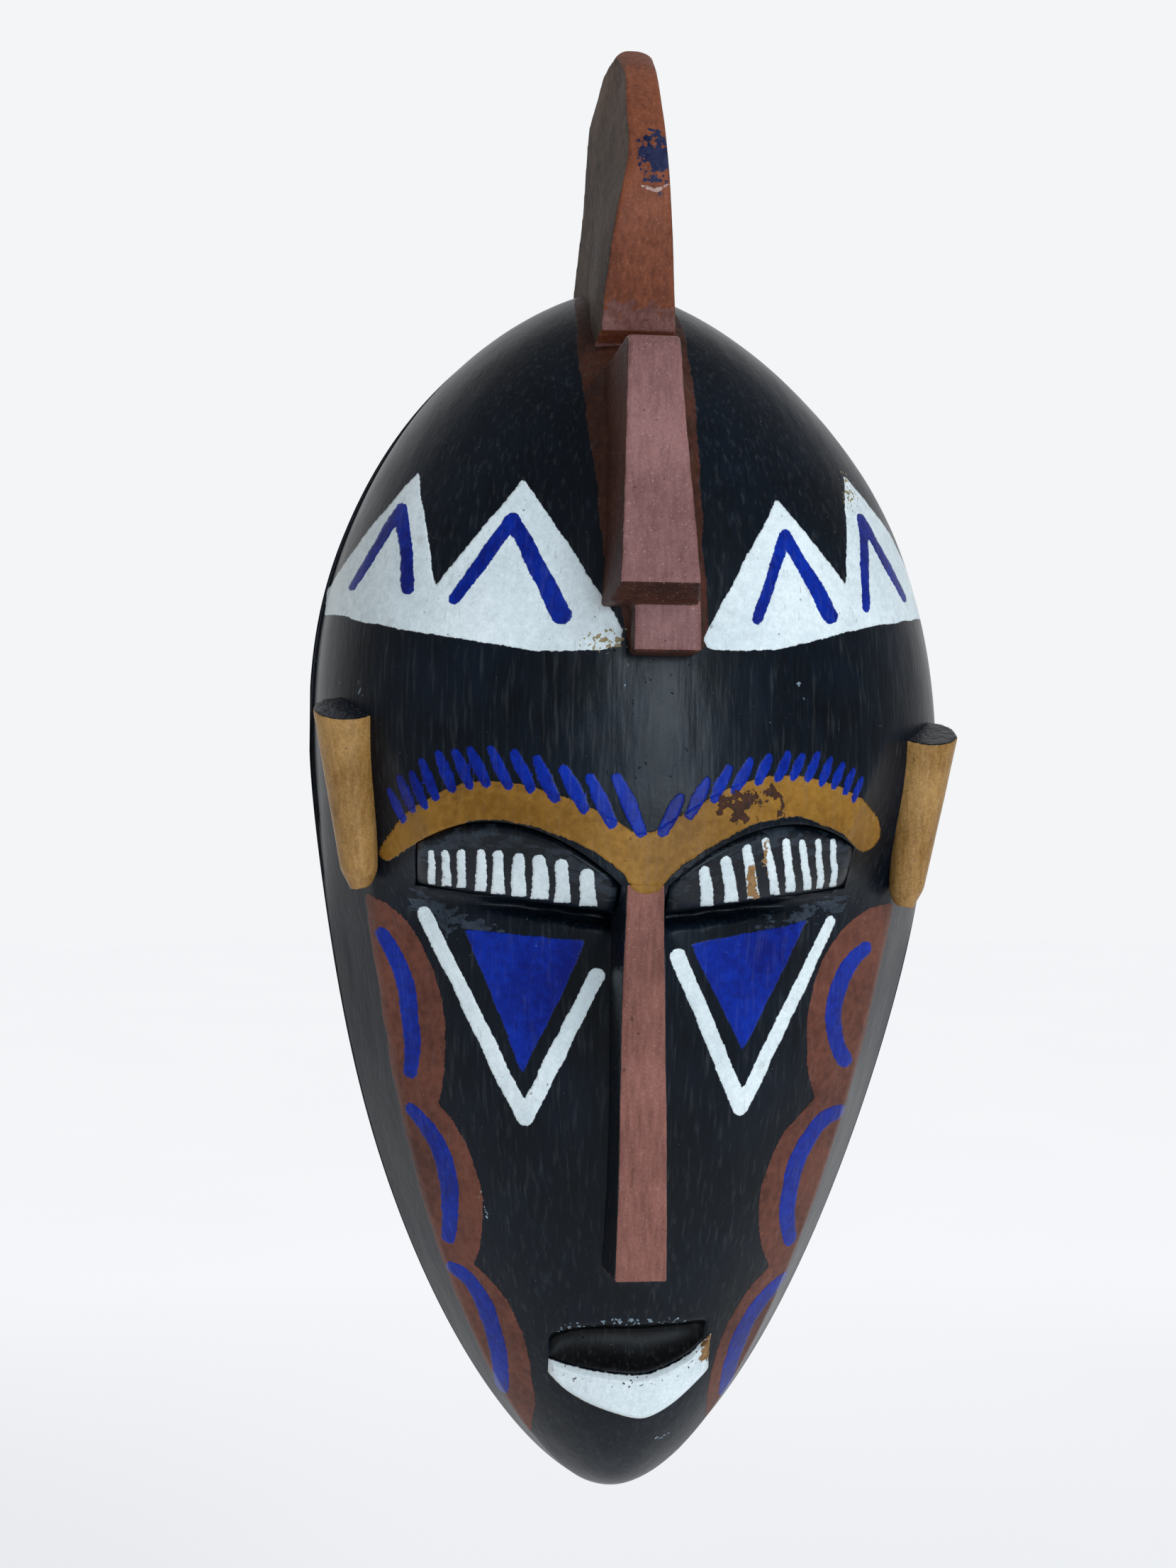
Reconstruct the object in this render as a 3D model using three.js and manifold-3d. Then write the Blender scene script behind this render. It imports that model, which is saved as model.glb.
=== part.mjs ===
// Carved and painted wooden wall mask: a hollow egg-shaped face with a stepped comb and
// a tall horn on the forehead, a long straight nose, drooping eyelids, lug ears and a
// raised lower lip. Each carved piece is let into the face or pegged to it with a dowel,
// and a swinging ring behind the crown hangs the mask on a wall.
//
// Millimetres, +Z up. The face looks along -Y and its rim lies against the wall at y = 0.
// Heights inside the mask are counted from the brow line; the whole mask is then lowered
// so that the origin is the wall mount behind the crown. "Left" is the viewer's left, -X.
// "Depth" is the distance in front of the wall, so depth = -y.
import * as THREE from 'three';
import { mergeVertices } from 'three/addons/utils/BufferGeometryUtils.js';
import Module from 'manifold-3d';

const wasm = await Module();
wasm.setup();

// ---------------------------------------------------------------- driving dimensions
const GAP = 0.3;              // clearance left between neighbouring pieces
const LET_IN = 3;             // how deep a carved piece is let into the face
const MOUNT_HEIGHT = 162.5;   // wall mount above the brow line

// Outline and depth of the face; the hollow is the same form, smaller.
const FACE = { halfWidth: 106, crown: 166, chin: -238, forehead: 87, cheek: 66, rim: 4 };
const HOLLOW = { halfWidth: 94, crown: 141, chin: -217, forehead: 74, cheek: 53, rim: -2 };
const WIDEST = 10;            // height of the widest level
const CROWN_CURVE = [2.3, 0.67];
const CHIN_CURVE = [1.6, 0.6];
// The hand-carved outline swells to the right at the cheeks and leans left at the crown.
const SWAY = { right: 3.1, at: -30, spread: 75, left: 3.2, from: 80, to: 160 };
const FACET_AT = 0.83;        // where the side plane of the lower face begins, share of width
const FACET_DEPTH = 0.44;     // depth there, share of the middle
// Powers of the curves from the middle of the face out to its crown, chin and sides.
const FOREHEAD_RISE = [2.6, 0.5];
const FOREHEAD_ROUND = [2.2, 0.55];
const CHEEK_FALL = [3.2, 0.55];
// The forehead steps down to the cheeks at the eyes; the step softens out at the temples.
const EYE_STEP = { below: 4, above: 10, templeBelow: 26, templeAbove: 44, softFrom: 56, softTo: 84 };
const HOLLOW_STEP = 60;       // the same step inside the hollow, spread over this height

// The brow arches: a peak over each eye, lower at the nose and at the temples.
const BROW = { peakX: 46, peakZ: -11, noseDrop: 19, noseRun: 40, templeDrop: 14, templeRun: 30 };
// The eyelids fill half-moon sockets under the brows and overhang the cheeks.
const EYE = { inner: 10.5, outer: 67, bottom: -38.5, rise: 0.12, riseEnds: 80, underBrow: 1 };
// Grooves under the lids and the mouth are sunk to a fixed depth and stop short of the hollow.
const EYE_SLIT = { inner: 12, outer: 56, top: -38.9, bottom: -43.5, floor: 52 };
const LID = { overhang: 5, sunk: 1.5, thickness: 7, bulge: 0.7 };
const MOUTH = { halfWidth: 23, top: -168, corner: -178, bottom: -184.5, floor: 41, round: 8 };
const LIP = {
  halfWidth: 25, top: -185.5, corner: -179.5, bottom: -202, proud: 3.5, tip: 3, jowl: 7, flat: 8, sag: 1.5,
};

const NOSE = { top: -29, bottom: -149.3, frontTop: 87, frontBottom: 75.7 };
const NOSE_HALF = { frontTop: 5.8, frontBottom: 8, baseTop: 9.6, baseBottom: 11.2 };
const NOSE_BASE_DEPTH = 50;
const NOSE_POCKET_FRONT = 6;  // the nose's pocket is cut this far past the nose's front

const COMB = {
  foot: 38, step: 52, riser: 56, shelf: 128, rear: 50, lowFront: 100, front: 114, topFront: 104, bevel: 3,
};
const STEP_OFFSET = 4;        // the small lower step sits a little to the right
const STEP_HALF = 9.6;
const HORN_FOOT = 128.6;
// Side view of the horn as [depth, z] points, and how its thickness shrinks with both.
const HORN_FRONT = [
  [66, 138], [69, 145], [74, 156], [79, 169], [80, 185], [73, 203], [60, 220], [47, 231.5],
];
const HORN_REAR = [[32, 232.5], [20, 224], [14, 207], [10, 187], [5, 166]];
const HORN_NOTCH = { depth: 56, drop: 2 };   // foot of the horn's front, over the comb's top
const HORN_TAPER = { start: 27.6, perDepth: 0.12, perHeight: 0.065 };
const COMB_TAPER = { start: 24.3, perDepth: 0.08, perHeight: 0.068 };

const EAR = {
  topX: 91.5, topDepth: 47, topRadius: 10.2, lowX: 86, lowDepth: 41, lowRadius: 5.2, slope: 24, cut: 3,
};
const EAR_PLACES = {
  left: { side: -1, top: 26, bottom: -33, out: -1.3 },
  right: { side: 1, top: 20.5, bottom: -38.5, out: 3.7 },
};

const DOWEL = { combRadius: 4, earRadius: 2.5, sides: 16 };
const STRAP = {
  width: 10, thickness: 1, top: 157, pivotZ: 133.5, pivotDepth: 3.4, boreRadius: 1.45, eyeRadius: 2.4,
};
const RECESS = { width: 13, top: 158.5, bottom: 137, depth: 4.2 };
const RING = { wire: 1, bow: 10 };
const SCREW = { headRadius: 2.8, headHeight: 1.5, shankRadius: 1.5, length: 13 };
const SCREW_HEIGHTS = { upper: 153, lower: 144.5 };

// ---------------------------------------------------------------- materials
const paint = (color, roughness) => new THREE.MeshStandardMaterial({ color, roughness, metalness: 0 });
const blackPaint = () => paint(0x1b1e22, 0.45);
const redBrown = () => paint(0x6b3a2e, 0.6);
const ochre = () => paint(0x8f6a2e, 0.6);
const white = () => paint(0xdde4e8, 0.5);
const bareWood = () => paint(0xb28a5c, 0.75);
const steel = () => new THREE.MeshStandardMaterial({ color: 0x9a9c9e, roughness: 0.35, metalness: 0.9 });

// ---------------------------------------------------------------- solids
function toManifold(geometry) {
  const bare = geometry.clone();
  bare.deleteAttribute('normal');
  bare.deleteAttribute('uv');
  const merged = mergeVertices(bare, 1e-4);
  return new wasm.Manifold(new wasm.Mesh({
    numProp: 3,
    vertProperties: new Float32Array(merged.attributes.position.array),
    triVerts: new Uint32Array(merged.index.array),
  }));
}

function toMesh(name, solid, material) {
  const result = solid.getMesh();
  const geometry = new THREE.BufferGeometry();
  geometry.setAttribute('position', new THREE.BufferAttribute(result.vertProperties, 3));
  geometry.setIndex(new THREE.BufferAttribute(result.triVerts, 1));
  geometry.computeVertexNormals();
  const mesh = new THREE.Mesh(geometry, material);
  mesh.name = name;
  return mesh;
}

// A prism whose outline is drawn in x and z, reaching from the wall to far in front.
function frontPrism(shape, fromDepth = 0, toDepth = 140) {
  const geometry = new THREE.ExtrudeGeometry(shape, {
    depth: toDepth - fromDepth, bevelEnabled: false, curveSegments: 8,
  });
  geometry.rotateX(Math.PI / 2);
  geometry.translate(0, -fromDepth, 0);
  return toManifold(geometry);
}

// A plank in the middle plane whose side view is drawn as [depth, z] points; its half
// thickness is given at every depth and height.
function plank(outline, halfThickness, middleX = 0) {
  const shape = new THREE.Shape(outline.map(([depth, z]) => new THREE.Vector2(depth, z)));
  const geometry = new THREE.ExtrudeGeometry(shape, { depth: 2, bevelEnabled: false });
  geometry.translate(0, 0, -1);
  const toSideView = new THREE.Matrix4().makeBasis(
    new THREE.Vector3(0, -1, 0), new THREE.Vector3(0, 0, 1), new THREE.Vector3(-1, 0, 0));
  geometry.applyMatrix4(toSideView);
  const position = geometry.attributes.position;
  for (let i = 0; i < position.count; i++) {
    const half = halfThickness(-position.getY(i), position.getZ(i));
    position.setX(i, middleX + position.getX(i) * half);
  }
  return toManifold(geometry);
}

// A straight rod between two points.
function rod(from, to, startRadius, endRadius = startRadius, sides = DOWEL.sides) {
  const start = new THREE.Vector3(...from);
  const along = new THREE.Vector3(...to).sub(start);
  const geometry = new THREE.CylinderGeometry(endRadius, startRadius, along.length(), sides);
  geometry.translate(0, along.length() / 2, 0);
  const turn = new THREE.Quaternion().setFromUnitVectors(
    new THREE.Vector3(0, 1, 0), along.clone().normalize());
  geometry.applyQuaternion(turn);
  geometry.translate(...from);
  return toManifold(geometry);
}

function block(width, depth, height, x, y, z) {
  const geometry = new THREE.BoxGeometry(width, depth, height);
  geometry.translate(x, y, z);
  return toManifold(geometry);
}

// ---------------------------------------------------------------- the form of the face
const smooth = (low, high, value) => THREE.MathUtils.smoothstep(value, low, high);

// The same face, larger or smaller all round.
function grown(form, by) {
  const bigger = { ...form };
  for (const key of ['halfWidth', 'crown', 'forehead', 'cheek', 'rim']) bigger[key] += by;
  bigger.chin -= by;
  return bigger;
}

// How far the middle of the outline strays to the right at each level.
function swayAt(z) {
  return SWAY.right * Math.exp(-(((z - SWAY.at) / SWAY.spread) ** 2))
    - SWAY.left * smooth(SWAY.from, SWAY.to, z);
}

// A rounded fall from 1 at share 0 to nothing at share 1.
const rounded = (share, [power, root]) => Math.max(0, 1 - share ** power) ** root;

function halfWidthAt(form, z) {
  const above = z > WIDEST;
  const share = (z - WIDEST) / ((above ? form.crown : form.chin) - WIDEST);
  return form.halfWidth * rounded(share, above ? CROWN_CURVE : CHIN_CURVE);
}

// 0 in the middle of a level, 1 at the outline.
const acrossAt = (form, x, z) => Math.min(1, Math.abs(x - swayAt(z)) / halfWidthAt(form, z));

function foreheadDepth(form, across, z) {
  const share = Math.max(0, (z - WIDEST) / (form.crown - WIDEST));
  const middle = form.forehead * rounded(share, FOREHEAD_RISE);
  return form.rim + Math.max(0, middle - form.rim) * rounded(across, FOREHEAD_ROUND);
}

function cheekDepth(form, across, z) {
  const share = Math.max(0, (WIDEST - z) / (WIDEST - form.chin));
  const middle = form.cheek * rounded(share, CHEEK_FALL);
  const facet = across < FACET_AT
    ? 1 - (1 - FACET_DEPTH) * (across / FACET_AT) ** 2
    : FACET_DEPTH * (1 - across) / (1 - FACET_AT);
  return form.rim + Math.max(0, middle - form.rim) * facet;
}

// Height of the brow's lower edge above each eye.
function browEdge(x) {
  const side = Math.abs(x) - BROW.peakX;
  const drop = side < 0 ? BROW.noseDrop * (side / BROW.noseRun) ** 2
    : BROW.templeDrop * (side / BROW.templeRun) ** 2;
  return BROW.peakZ - drop;
}

// Height of the eyelids' lower edge, which rises outward; the step down to the cheeks is there.
const lidLine = (x) => EYE.bottom + EYE.rise * (Math.min(Math.abs(x), EYE.riseEnds) - EYE.inner);

// 1 on the forehead, 0 on the cheeks: a sharp step under the eyes, a soft one at the temples.
function foreheadShare(x, z, hollow) {
  if (hollow) return smooth(0, HOLLOW_STEP, z);
  const temple = smooth(EYE_STEP.softFrom, EYE_STEP.softTo, Math.abs(x));
  const from = lidLine(x) - EYE_STEP.below - EYE_STEP.templeBelow * temple;
  const to = lidLine(x) + EYE_STEP.above + EYE_STEP.templeAbove * temple;
  return smooth(from, to, z);
}

function depthAt(form, x, z, hollow = false) {
  const across = acrossAt(form, x, z);
  const share = foreheadShare(x, z, hollow);
  return THREE.MathUtils.lerp(cheekDepth(form, across, z), foreheadDepth(form, across, z), share);
}

// An eyelid's surface: it bulges from just under the brow out over the cheek.
function lidDepth(form, x, z) {
  const across = acrossAt(form, x, z);
  const climb = THREE.MathUtils.clamp((z - lidLine(x)) / (browEdge(x) - lidLine(x)), 0, 1);
  return THREE.MathUtils.lerp(cheekDepth(form, across, z) + LID.overhang,
    foreheadDepth(form, across, z) - LID.sunk, climb ** LID.bulge);
}

// Levels at which the face is drawn: close together at both ends and across the brows.
const LEVELS = { face: 40, hollow: 22, end: 0.03 };
const BROW_LEVELS = { from: -46, to: -22, apart: 2.5 };
const HALF_COLUMNS = { face: 14, hollow: 9 };

function levels(form, hollow) {
  const count = hollow ? LEVELS.hollow : LEVELS.face;
  const heights = [];
  for (let i = 0; i <= count; i++) {
    const turn = THREE.MathUtils.lerp(LEVELS.end, 1 - LEVELS.end, i / count) * Math.PI;
    heights.push(THREE.MathUtils.lerp(form.chin, form.crown, (1 - Math.cos(turn)) / 2));
  }
  if (hollow) return heights;
  for (let z = BROW_LEVELS.from; z < BROW_LEVELS.to; z += BROW_LEVELS.apart) heights.push(z);
  return heights.sort((a, b) => a - b);
}

// The solid between a back plane and a surface given by its depth.
function faceSolid(form, back = 0, hollow = false, depth = depthAt) {
  const heights = levels(form, hollow);
  const halfColumns = hollow ? HALF_COLUMNS.hollow : HALF_COLUMNS.face;
  const columns = 2 * halfColumns + 1;
  const points = [];
  const faces = [];
  for (const z of heights) {
    const middle = swayAt(z);
    const halfWidth = halfWidthAt(form, z);
    for (let j = 0; j < columns; j++) {
      const x = middle + halfWidth * Math.sin((j / halfColumns - 1) * Math.PI / 2);
      points.push(x, -depth(form, x, z, hollow), z);
    }
    points.push(middle - halfWidth, back, z, middle + halfWidth, back, z);
  }
  const stride = columns + 2;
  const quad = (a, b, c, d) => faces.push(a, b, c, a, c, d);
  for (let i = 0; i + 1 < heights.length; i++) {
    const low = i * stride;
    const high = low + stride;
    for (let j = 0; j + 1 < columns; j++) quad(low + j, low + j + 1, high + j + 1, high + j);
    quad(low + columns, low, high, high + columns);
    quad(low + columns - 1, low + columns + 1, high + columns + 1, high + columns - 1);
    quad(low + columns + 1, low + columns, high + columns, high + columns + 1);
  }
  const top = (heights.length - 1) * stride;
  for (let j = 0; j + 1 < columns; j++) {
    faces.push(columns, j + 1, j);
    faces.push(top + columns, top + j, top + j + 1);
  }
  faces.push(columns, columns + 1, columns - 1);
  faces.push(top + columns, top + columns - 1, top + columns + 1);
  const geometry = new THREE.BufferGeometry();
  geometry.setAttribute('position', new THREE.Float32BufferAttribute(points, 3));
  geometry.setIndex(faces);
  return toManifold(geometry);
}

const faceBody = faceSolid(FACE);
const faceWithGap = faceSolid(grown(FACE, GAP));
const faceBed = faceSolid(grown(FACE, -LET_IN));
const faceBedWithGap = faceSolid(grown(FACE, GAP - LET_IN));

// ---------------------------------------------------------------- outlines of the pieces
// Half-moon of an eyelid: arched along the brow, straight below.
function eyelidShape(side, grow) {
  const shape = new THREE.Shape();
  const inner = EYE.inner - grow;
  const outer = EYE.outer + grow;
  const bottomAt = (x) => lidLine(x) - grow;
  shape.moveTo(side * inner, bottomAt(inner));
  shape.lineTo(side * outer, bottomAt(outer));
  const steps = 10;
  for (let i = 0; i <= steps; i++) {
    const x = THREE.MathUtils.lerp(outer, inner, i / steps);
    shape.lineTo(side * x, browEdge(x) - EYE.underBrow + grow);
  }
  return shape;
}

function eyeSlitShape(side) {
  const shape = new THREE.Shape();
  shape.moveTo(side * EYE_SLIT.inner, EYE_SLIT.bottom);
  shape.lineTo(side * EYE_SLIT.outer, EYE_SLIT.bottom);
  shape.lineTo(side * EYE_SLIT.outer, EYE_SLIT.top);
  shape.lineTo(side * EYE_SLIT.inner, EYE_SLIT.top);
  return shape;
}

function mouthShape() {
  const { halfWidth, top, corner, bottom, round } = MOUTH;
  const shape = new THREE.Shape();
  shape.moveTo(-halfWidth, corner);
  shape.quadraticCurveTo(0, 2 * bottom - corner, halfWidth, corner);
  shape.quadraticCurveTo(halfWidth, top, halfWidth - round, top);
  shape.lineTo(round - halfWidth, top);
  shape.quadraticCurveTo(-halfWidth, top, -halfWidth, corner);
  return shape;
}

function lipShape(grow) {
  const half = LIP.halfWidth + grow;
  const end = LIP.corner + grow;
  const low = LIP.bottom - grow;
  const shape = new THREE.Shape();
  shape.moveTo(-half, end);
  shape.quadraticCurveTo(0, 2 * (LIP.top + grow) - end, half, end);
  shape.lineTo(half, end - LIP.tip);
  shape.quadraticCurveTo(half - 1, low + LIP.jowl, LIP.flat, low);
  shape.quadraticCurveTo(0, low - LIP.sag, -LIP.flat, low);
  shape.quadraticCurveTo(1 - half, low + LIP.jowl, -half, end - LIP.tip);
  return shape;
}

// ---------------------------------------------------------------- carved pieces
// A piece that stands on the bed cut for it, and the pocket that it goes into.
const standOnBed = (solid) => solid.subtract(faceBedWithGap);
const pocketFor = (solidWithGap) => solidWithGap.subtract(faceBed);

function noseSolid(grow) {
  const clearFront = grow > 0 ? NOSE_POCKET_FRONT : 0;
  const points = [];
  for (const [z, front, halfFront, halfBase] of [
    [NOSE.bottom - grow, NOSE.frontBottom, NOSE_HALF.frontBottom, NOSE_HALF.baseBottom],
    [NOSE.top + grow, NOSE.frontTop, NOSE_HALF.frontTop, NOSE_HALF.baseTop],
  ]) {
    points.push(-halfBase - grow, -NOSE_BASE_DEPTH, z, halfBase + grow, -NOSE_BASE_DEPTH, z);
    points.push(halfFront + grow, -front - clearFront, z, -halfFront - grow, -front - clearFront, z);
  }
  const geometry = new THREE.BufferGeometry();
  geometry.setAttribute('position', new THREE.Float32BufferAttribute(points, 3));
  geometry.setIndex([
    0, 1, 2, 0, 2, 3, 4, 6, 5, 4, 7, 6, 0, 5, 1, 0, 4, 5,
    1, 6, 2, 1, 5, 6, 2, 7, 3, 2, 6, 7, 3, 4, 0, 3, 7, 4,
  ]);
  return toManifold(geometry);
}

const tapered = (taper, grow) => (depth, z) =>
  taper.start - taper.perDepth * depth - taper.perHeight * z + grow;

function combSolid(grow) {
  const { foot, step, riser, shelf, rear, lowFront, front, topFront, bevel } = COMB;
  const upper = [
    [rear, step - grow], [lowFront, step - grow], [front, riser - grow],
    [topFront, shelf - bevel], [topFront - bevel, shelf + grow], [rear, shelf + grow],
  ];
  const lower = [[rear, foot - grow], [lowFront, foot - grow], [lowFront, riser], [rear, riser]];
  return plank(upper, tapered(COMB_TAPER, grow))
    .add(plank(lower, () => STEP_HALF + grow, STEP_OFFSET));
}

function hornSolid(grow) {
  const curve = (points, shift) => new THREE.SplineCurve(
    points.map(([depth, z]) => new THREE.Vector2(depth + shift, z)));
  const outline = [...curve(HORN_FRONT, grow).getPoints(18), ...curve(HORN_REAR, -grow).getPoints(10)]
    .map((point) => [point.x, point.y]);
  const notch = HORN_NOTCH.depth + grow;
  outline.push([HORN_REAR.at(-1)[0] - grow, HORN_FOOT], [notch, HORN_FOOT]);
  outline.push([notch, HORN_FRONT[0][1] - HORN_NOTCH.drop - grow]);
  return plank(outline, tapered(HORN_TAPER, grow));
}

function earSolid({ side, top, bottom, out }, grow) {
  const taper = (EAR.topRadius - EAR.lowRadius) / (top - bottom);
  const lug = rod(
    [side * (EAR.lowX + out), -EAR.lowDepth, bottom - grow],
    [side * (EAR.topX + out), -EAR.topDepth, top + grow],
    EAR.lowRadius + grow, EAR.topRadius + grow + taper, 24);
  const slope = block(60, 60, 20, side * EAR.topX, 0, 10).rotate([EAR.slope, 0, 0])
    .translate([0, -EAR.topDepth, top - EAR.cut + grow]);
  return lug.subtract(slope);
}

// Every dowel is a straight rod from inside the face into the piece that it holds.
const dowelSpans = {
  comb_dowel_upper: { from: [0, -64, 105], to: [0, -98, 105], radius: DOWEL.combRadius },
  comb_dowel_lower: { from: [0, -70, 64], to: [0, -104, 64], radius: DOWEL.combRadius },
  horn_dowel: { from: [0, -26, 148], to: [0, -30, 186], radius: DOWEL.combRadius },
  ear_dowel_left: { from: [-78, -33, -2], to: [-92, -47, -2], radius: DOWEL.earRadius },
  ear_dowel_right: { from: [78, -33, -7], to: [92, -47, -7], radius: DOWEL.earRadius },
};

function dowel(name, grow) {
  const { from, to, radius } = dowelSpans[name];
  const start = new THREE.Vector3(...from);
  const end = new THREE.Vector3(...to);
  const extra = end.clone().sub(start).setLength(grow);
  return rod(start.sub(extra).toArray(), end.add(extra).toArray(), radius + grow);
}

const bored = (solid, ...names) => names.reduce((left, name) => left.subtract(dowel(name, GAP)), solid);

const lidLevel = (by) => faceSolid(grown(FACE, by), 0, false, lidDepth);
const lidFront = lidLevel(0);
const socketFloor = lidLevel(-LID.thickness);
const socketFloorWithGap = lidLevel(GAP - LID.thickness);

const eyelid = (side) => frontPrism(eyelidShape(side, 0)).intersect(lidFront).subtract(socketFloorWithGap);
const eyeSocket = (side) => frontPrism(eyelidShape(side, GAP)).subtract(socketFloor);

function lowerLip() {
  return standOnBed(frontPrism(lipShape(0)).intersect(faceSolid(grown(FACE, LIP.proud))));
}

// ---------------------------------------------------------------- hanger
function hangerStrap() {
  const { width, thickness, top, pivotZ, pivotDepth, boreRadius, eyeRadius } = STRAP;
  const height = top - pivotZ;
  const plate = block(width, thickness, height, 0, -pivotDepth, pivotZ + height / 2);
  const halfWidth = width / 2;
  const eye = rod([-halfWidth, -pivotDepth, pivotZ], [halfWidth, -pivotDepth, pivotZ], eyeRadius);
  const bore = rod([-width, -pivotDepth, pivotZ], [width, -pivotDepth, pivotZ], boreRadius);
  let strap = plate.add(eye).subtract(bore);
  for (const z of Object.values(SCREW_HEIGHTS)) {
    strap = strap.subtract(rod([0, 1, z], [0, -20, z], SCREW.shankRadius + GAP));
  }
  return strap;
}

// A straight bar through the strap's eye, closed below by a half-round bow.
function hangerRing() {
  const bow = new THREE.TorusGeometry(RING.bow, RING.wire, 8, 28);
  bow.rotateX(Math.PI / 2);
  const lowerHalf = block(40, 10, 20, 0, 0, -10);
  const bar = rod([-RING.bow, 0, 0], [RING.bow, 0, 0], RING.wire, RING.wire, 10);
  const tips = [-RING.bow, RING.bow].map((x) => {
    const ball = new THREE.SphereGeometry(RING.wire * 1.05, 10, 8);
    ball.translate(x, 0, 0);
    return toManifold(ball);
  });
  const half = toManifold(bow).intersect(lowerHalf);
  return half.add(bar).add(tips[0]).add(tips[1]).translate([0, -STRAP.pivotDepth, STRAP.pivotZ]);
}

// Pan-head screw driven from the back, drawn as a turned profile.
function screw(z) {
  const { headRadius, headHeight, shankRadius, length } = SCREW;
  const profile = [
    [0, 0], [headRadius * 0.7, 0], [headRadius, headHeight * 0.5], [headRadius, headHeight],
    [shankRadius, headHeight], [shankRadius, length * 0.75], [0, length],
  ].map(([radius, along]) => new THREE.Vector2(radius, along));
  const geometry = new THREE.LatheGeometry(profile, 16);
  const strapBack = STRAP.pivotDepth - STRAP.thickness / 2;
  geometry.rotateX(Math.PI);
  geometry.translate(0, GAP + headHeight - strapBack, z);
  return toManifold(geometry);
}

// ---------------------------------------------------------------- the shell of the face
function faceShell() {
  let shell = faceBody.subtract(faceSolid(HOLLOW, 4, true));
  for (const side of [-1, 1]) {
    shell = shell.subtract(eyeSocket(side));
    shell = shell.subtract(frontPrism(eyeSlitShape(side), EYE_SLIT.floor));
  }
  shell = shell.subtract(frontPrism(mouthShape(), MOUTH.floor));
  shell = shell.subtract(pocketFor(frontPrism(lipShape(GAP))));
  for (const piece of [noseSolid(GAP), combSolid(GAP), hornSolid(GAP)]) {
    shell = shell.subtract(pocketFor(piece));
  }
  shell = shell.subtract(pocketFor(earSolid(EAR_PLACES.left, GAP)));
  shell = shell.subtract(pocketFor(earSolid(EAR_PLACES.right, GAP)));
  shell = bored(shell, ...Object.keys(dowelSpans));
  const recessHeight = RECESS.top - RECESS.bottom;
  shell = shell.subtract(block(RECESS.width, 2 * RECESS.depth, recessHeight,
    0, 0, RECESS.bottom + recessHeight / 2));
  for (const z of Object.values(SCREW_HEIGHTS)) {
    shell = shell.subtract(rod([0, 1, z], [0, -STRAP.pivotDepth - SCREW.length, z], SCREW.shankRadius + GAP));
  }
  return shell;
}

// ---------------------------------------------------------------- assembly
const mask = new THREE.Group();
mask.position.z = -MOUNT_HEIGHT;
const comb = bored(standOnBed(combSolid(0)), 'comb_dowel_upper', 'comb_dowel_lower');
const horn = bored(standOnBed(hornSolid(0)), 'horn_dowel');
mask.add(
  toMesh('face_shell', faceShell(), blackPaint()),
  toMesh('crest_comb', comb, redBrown()),
  toMesh('crest_horn', horn, redBrown()),
  toMesh('nose_ridge', standOnBed(noseSolid(0)), redBrown()),
  toMesh('ear_left', bored(standOnBed(earSolid(EAR_PLACES.left, 0)), 'ear_dowel_left'), ochre()),
  toMesh('ear_right', bored(standOnBed(earSolid(EAR_PLACES.right, 0)), 'ear_dowel_right'), ochre()),
  toMesh('eyelid_left', eyelid(-1), blackPaint()),
  toMesh('eyelid_right', eyelid(1), blackPaint()),
  toMesh('lower_lip', lowerLip(), white()),
  toMesh('hanger_strap', hangerStrap(), steel()),
  toMesh('hanger_ring', hangerRing(), steel()),
  toMesh('strap_screw_upper', screw(SCREW_HEIGHTS.upper), steel()),
  toMesh('strap_screw_lower', screw(SCREW_HEIGHTS.lower), steel()),
);
for (const name of Object.keys(dowelSpans)) mask.add(toMesh(name, dowel(name, 0), bareWood()));

const model = new THREE.Group();
model.add(mask);
export default model;
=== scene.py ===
# The looks of the carved and painted wall mask: dense carved surfaces, hand-painted
# patterns as signed distances in millimetres, and worn paint over wood.
#
# Lengths in this file are millimetres unless a name says otherwise. x runs to the viewer's
# right, "depth" is the distance in front of the wall (-y), and heights are counted from
# the brow line, which lies MOUNT_HEIGHT below the wall mount.
import itertools
import math

import bpy
import numpy as np
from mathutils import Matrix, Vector


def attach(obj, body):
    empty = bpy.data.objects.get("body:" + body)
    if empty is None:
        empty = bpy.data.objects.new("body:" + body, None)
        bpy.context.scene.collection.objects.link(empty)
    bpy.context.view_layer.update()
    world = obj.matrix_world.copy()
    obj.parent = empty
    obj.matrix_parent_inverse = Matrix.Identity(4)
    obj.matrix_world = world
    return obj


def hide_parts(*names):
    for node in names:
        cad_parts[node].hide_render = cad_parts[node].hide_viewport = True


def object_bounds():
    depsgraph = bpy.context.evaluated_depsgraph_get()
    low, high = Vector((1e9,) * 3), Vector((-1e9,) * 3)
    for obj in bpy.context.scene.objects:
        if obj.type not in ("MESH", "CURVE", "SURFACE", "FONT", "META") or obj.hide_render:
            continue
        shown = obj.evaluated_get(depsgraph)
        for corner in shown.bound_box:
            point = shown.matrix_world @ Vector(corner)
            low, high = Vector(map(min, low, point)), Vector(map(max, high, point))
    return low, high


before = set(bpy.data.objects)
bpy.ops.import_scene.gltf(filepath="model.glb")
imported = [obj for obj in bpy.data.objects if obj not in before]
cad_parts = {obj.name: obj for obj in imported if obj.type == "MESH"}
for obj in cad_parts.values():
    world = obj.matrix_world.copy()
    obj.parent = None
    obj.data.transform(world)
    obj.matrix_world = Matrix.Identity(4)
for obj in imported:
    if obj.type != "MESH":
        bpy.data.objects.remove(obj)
CAD_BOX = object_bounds()

MM = 0.001
MOUNT_HEIGHT = 162.5

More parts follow.
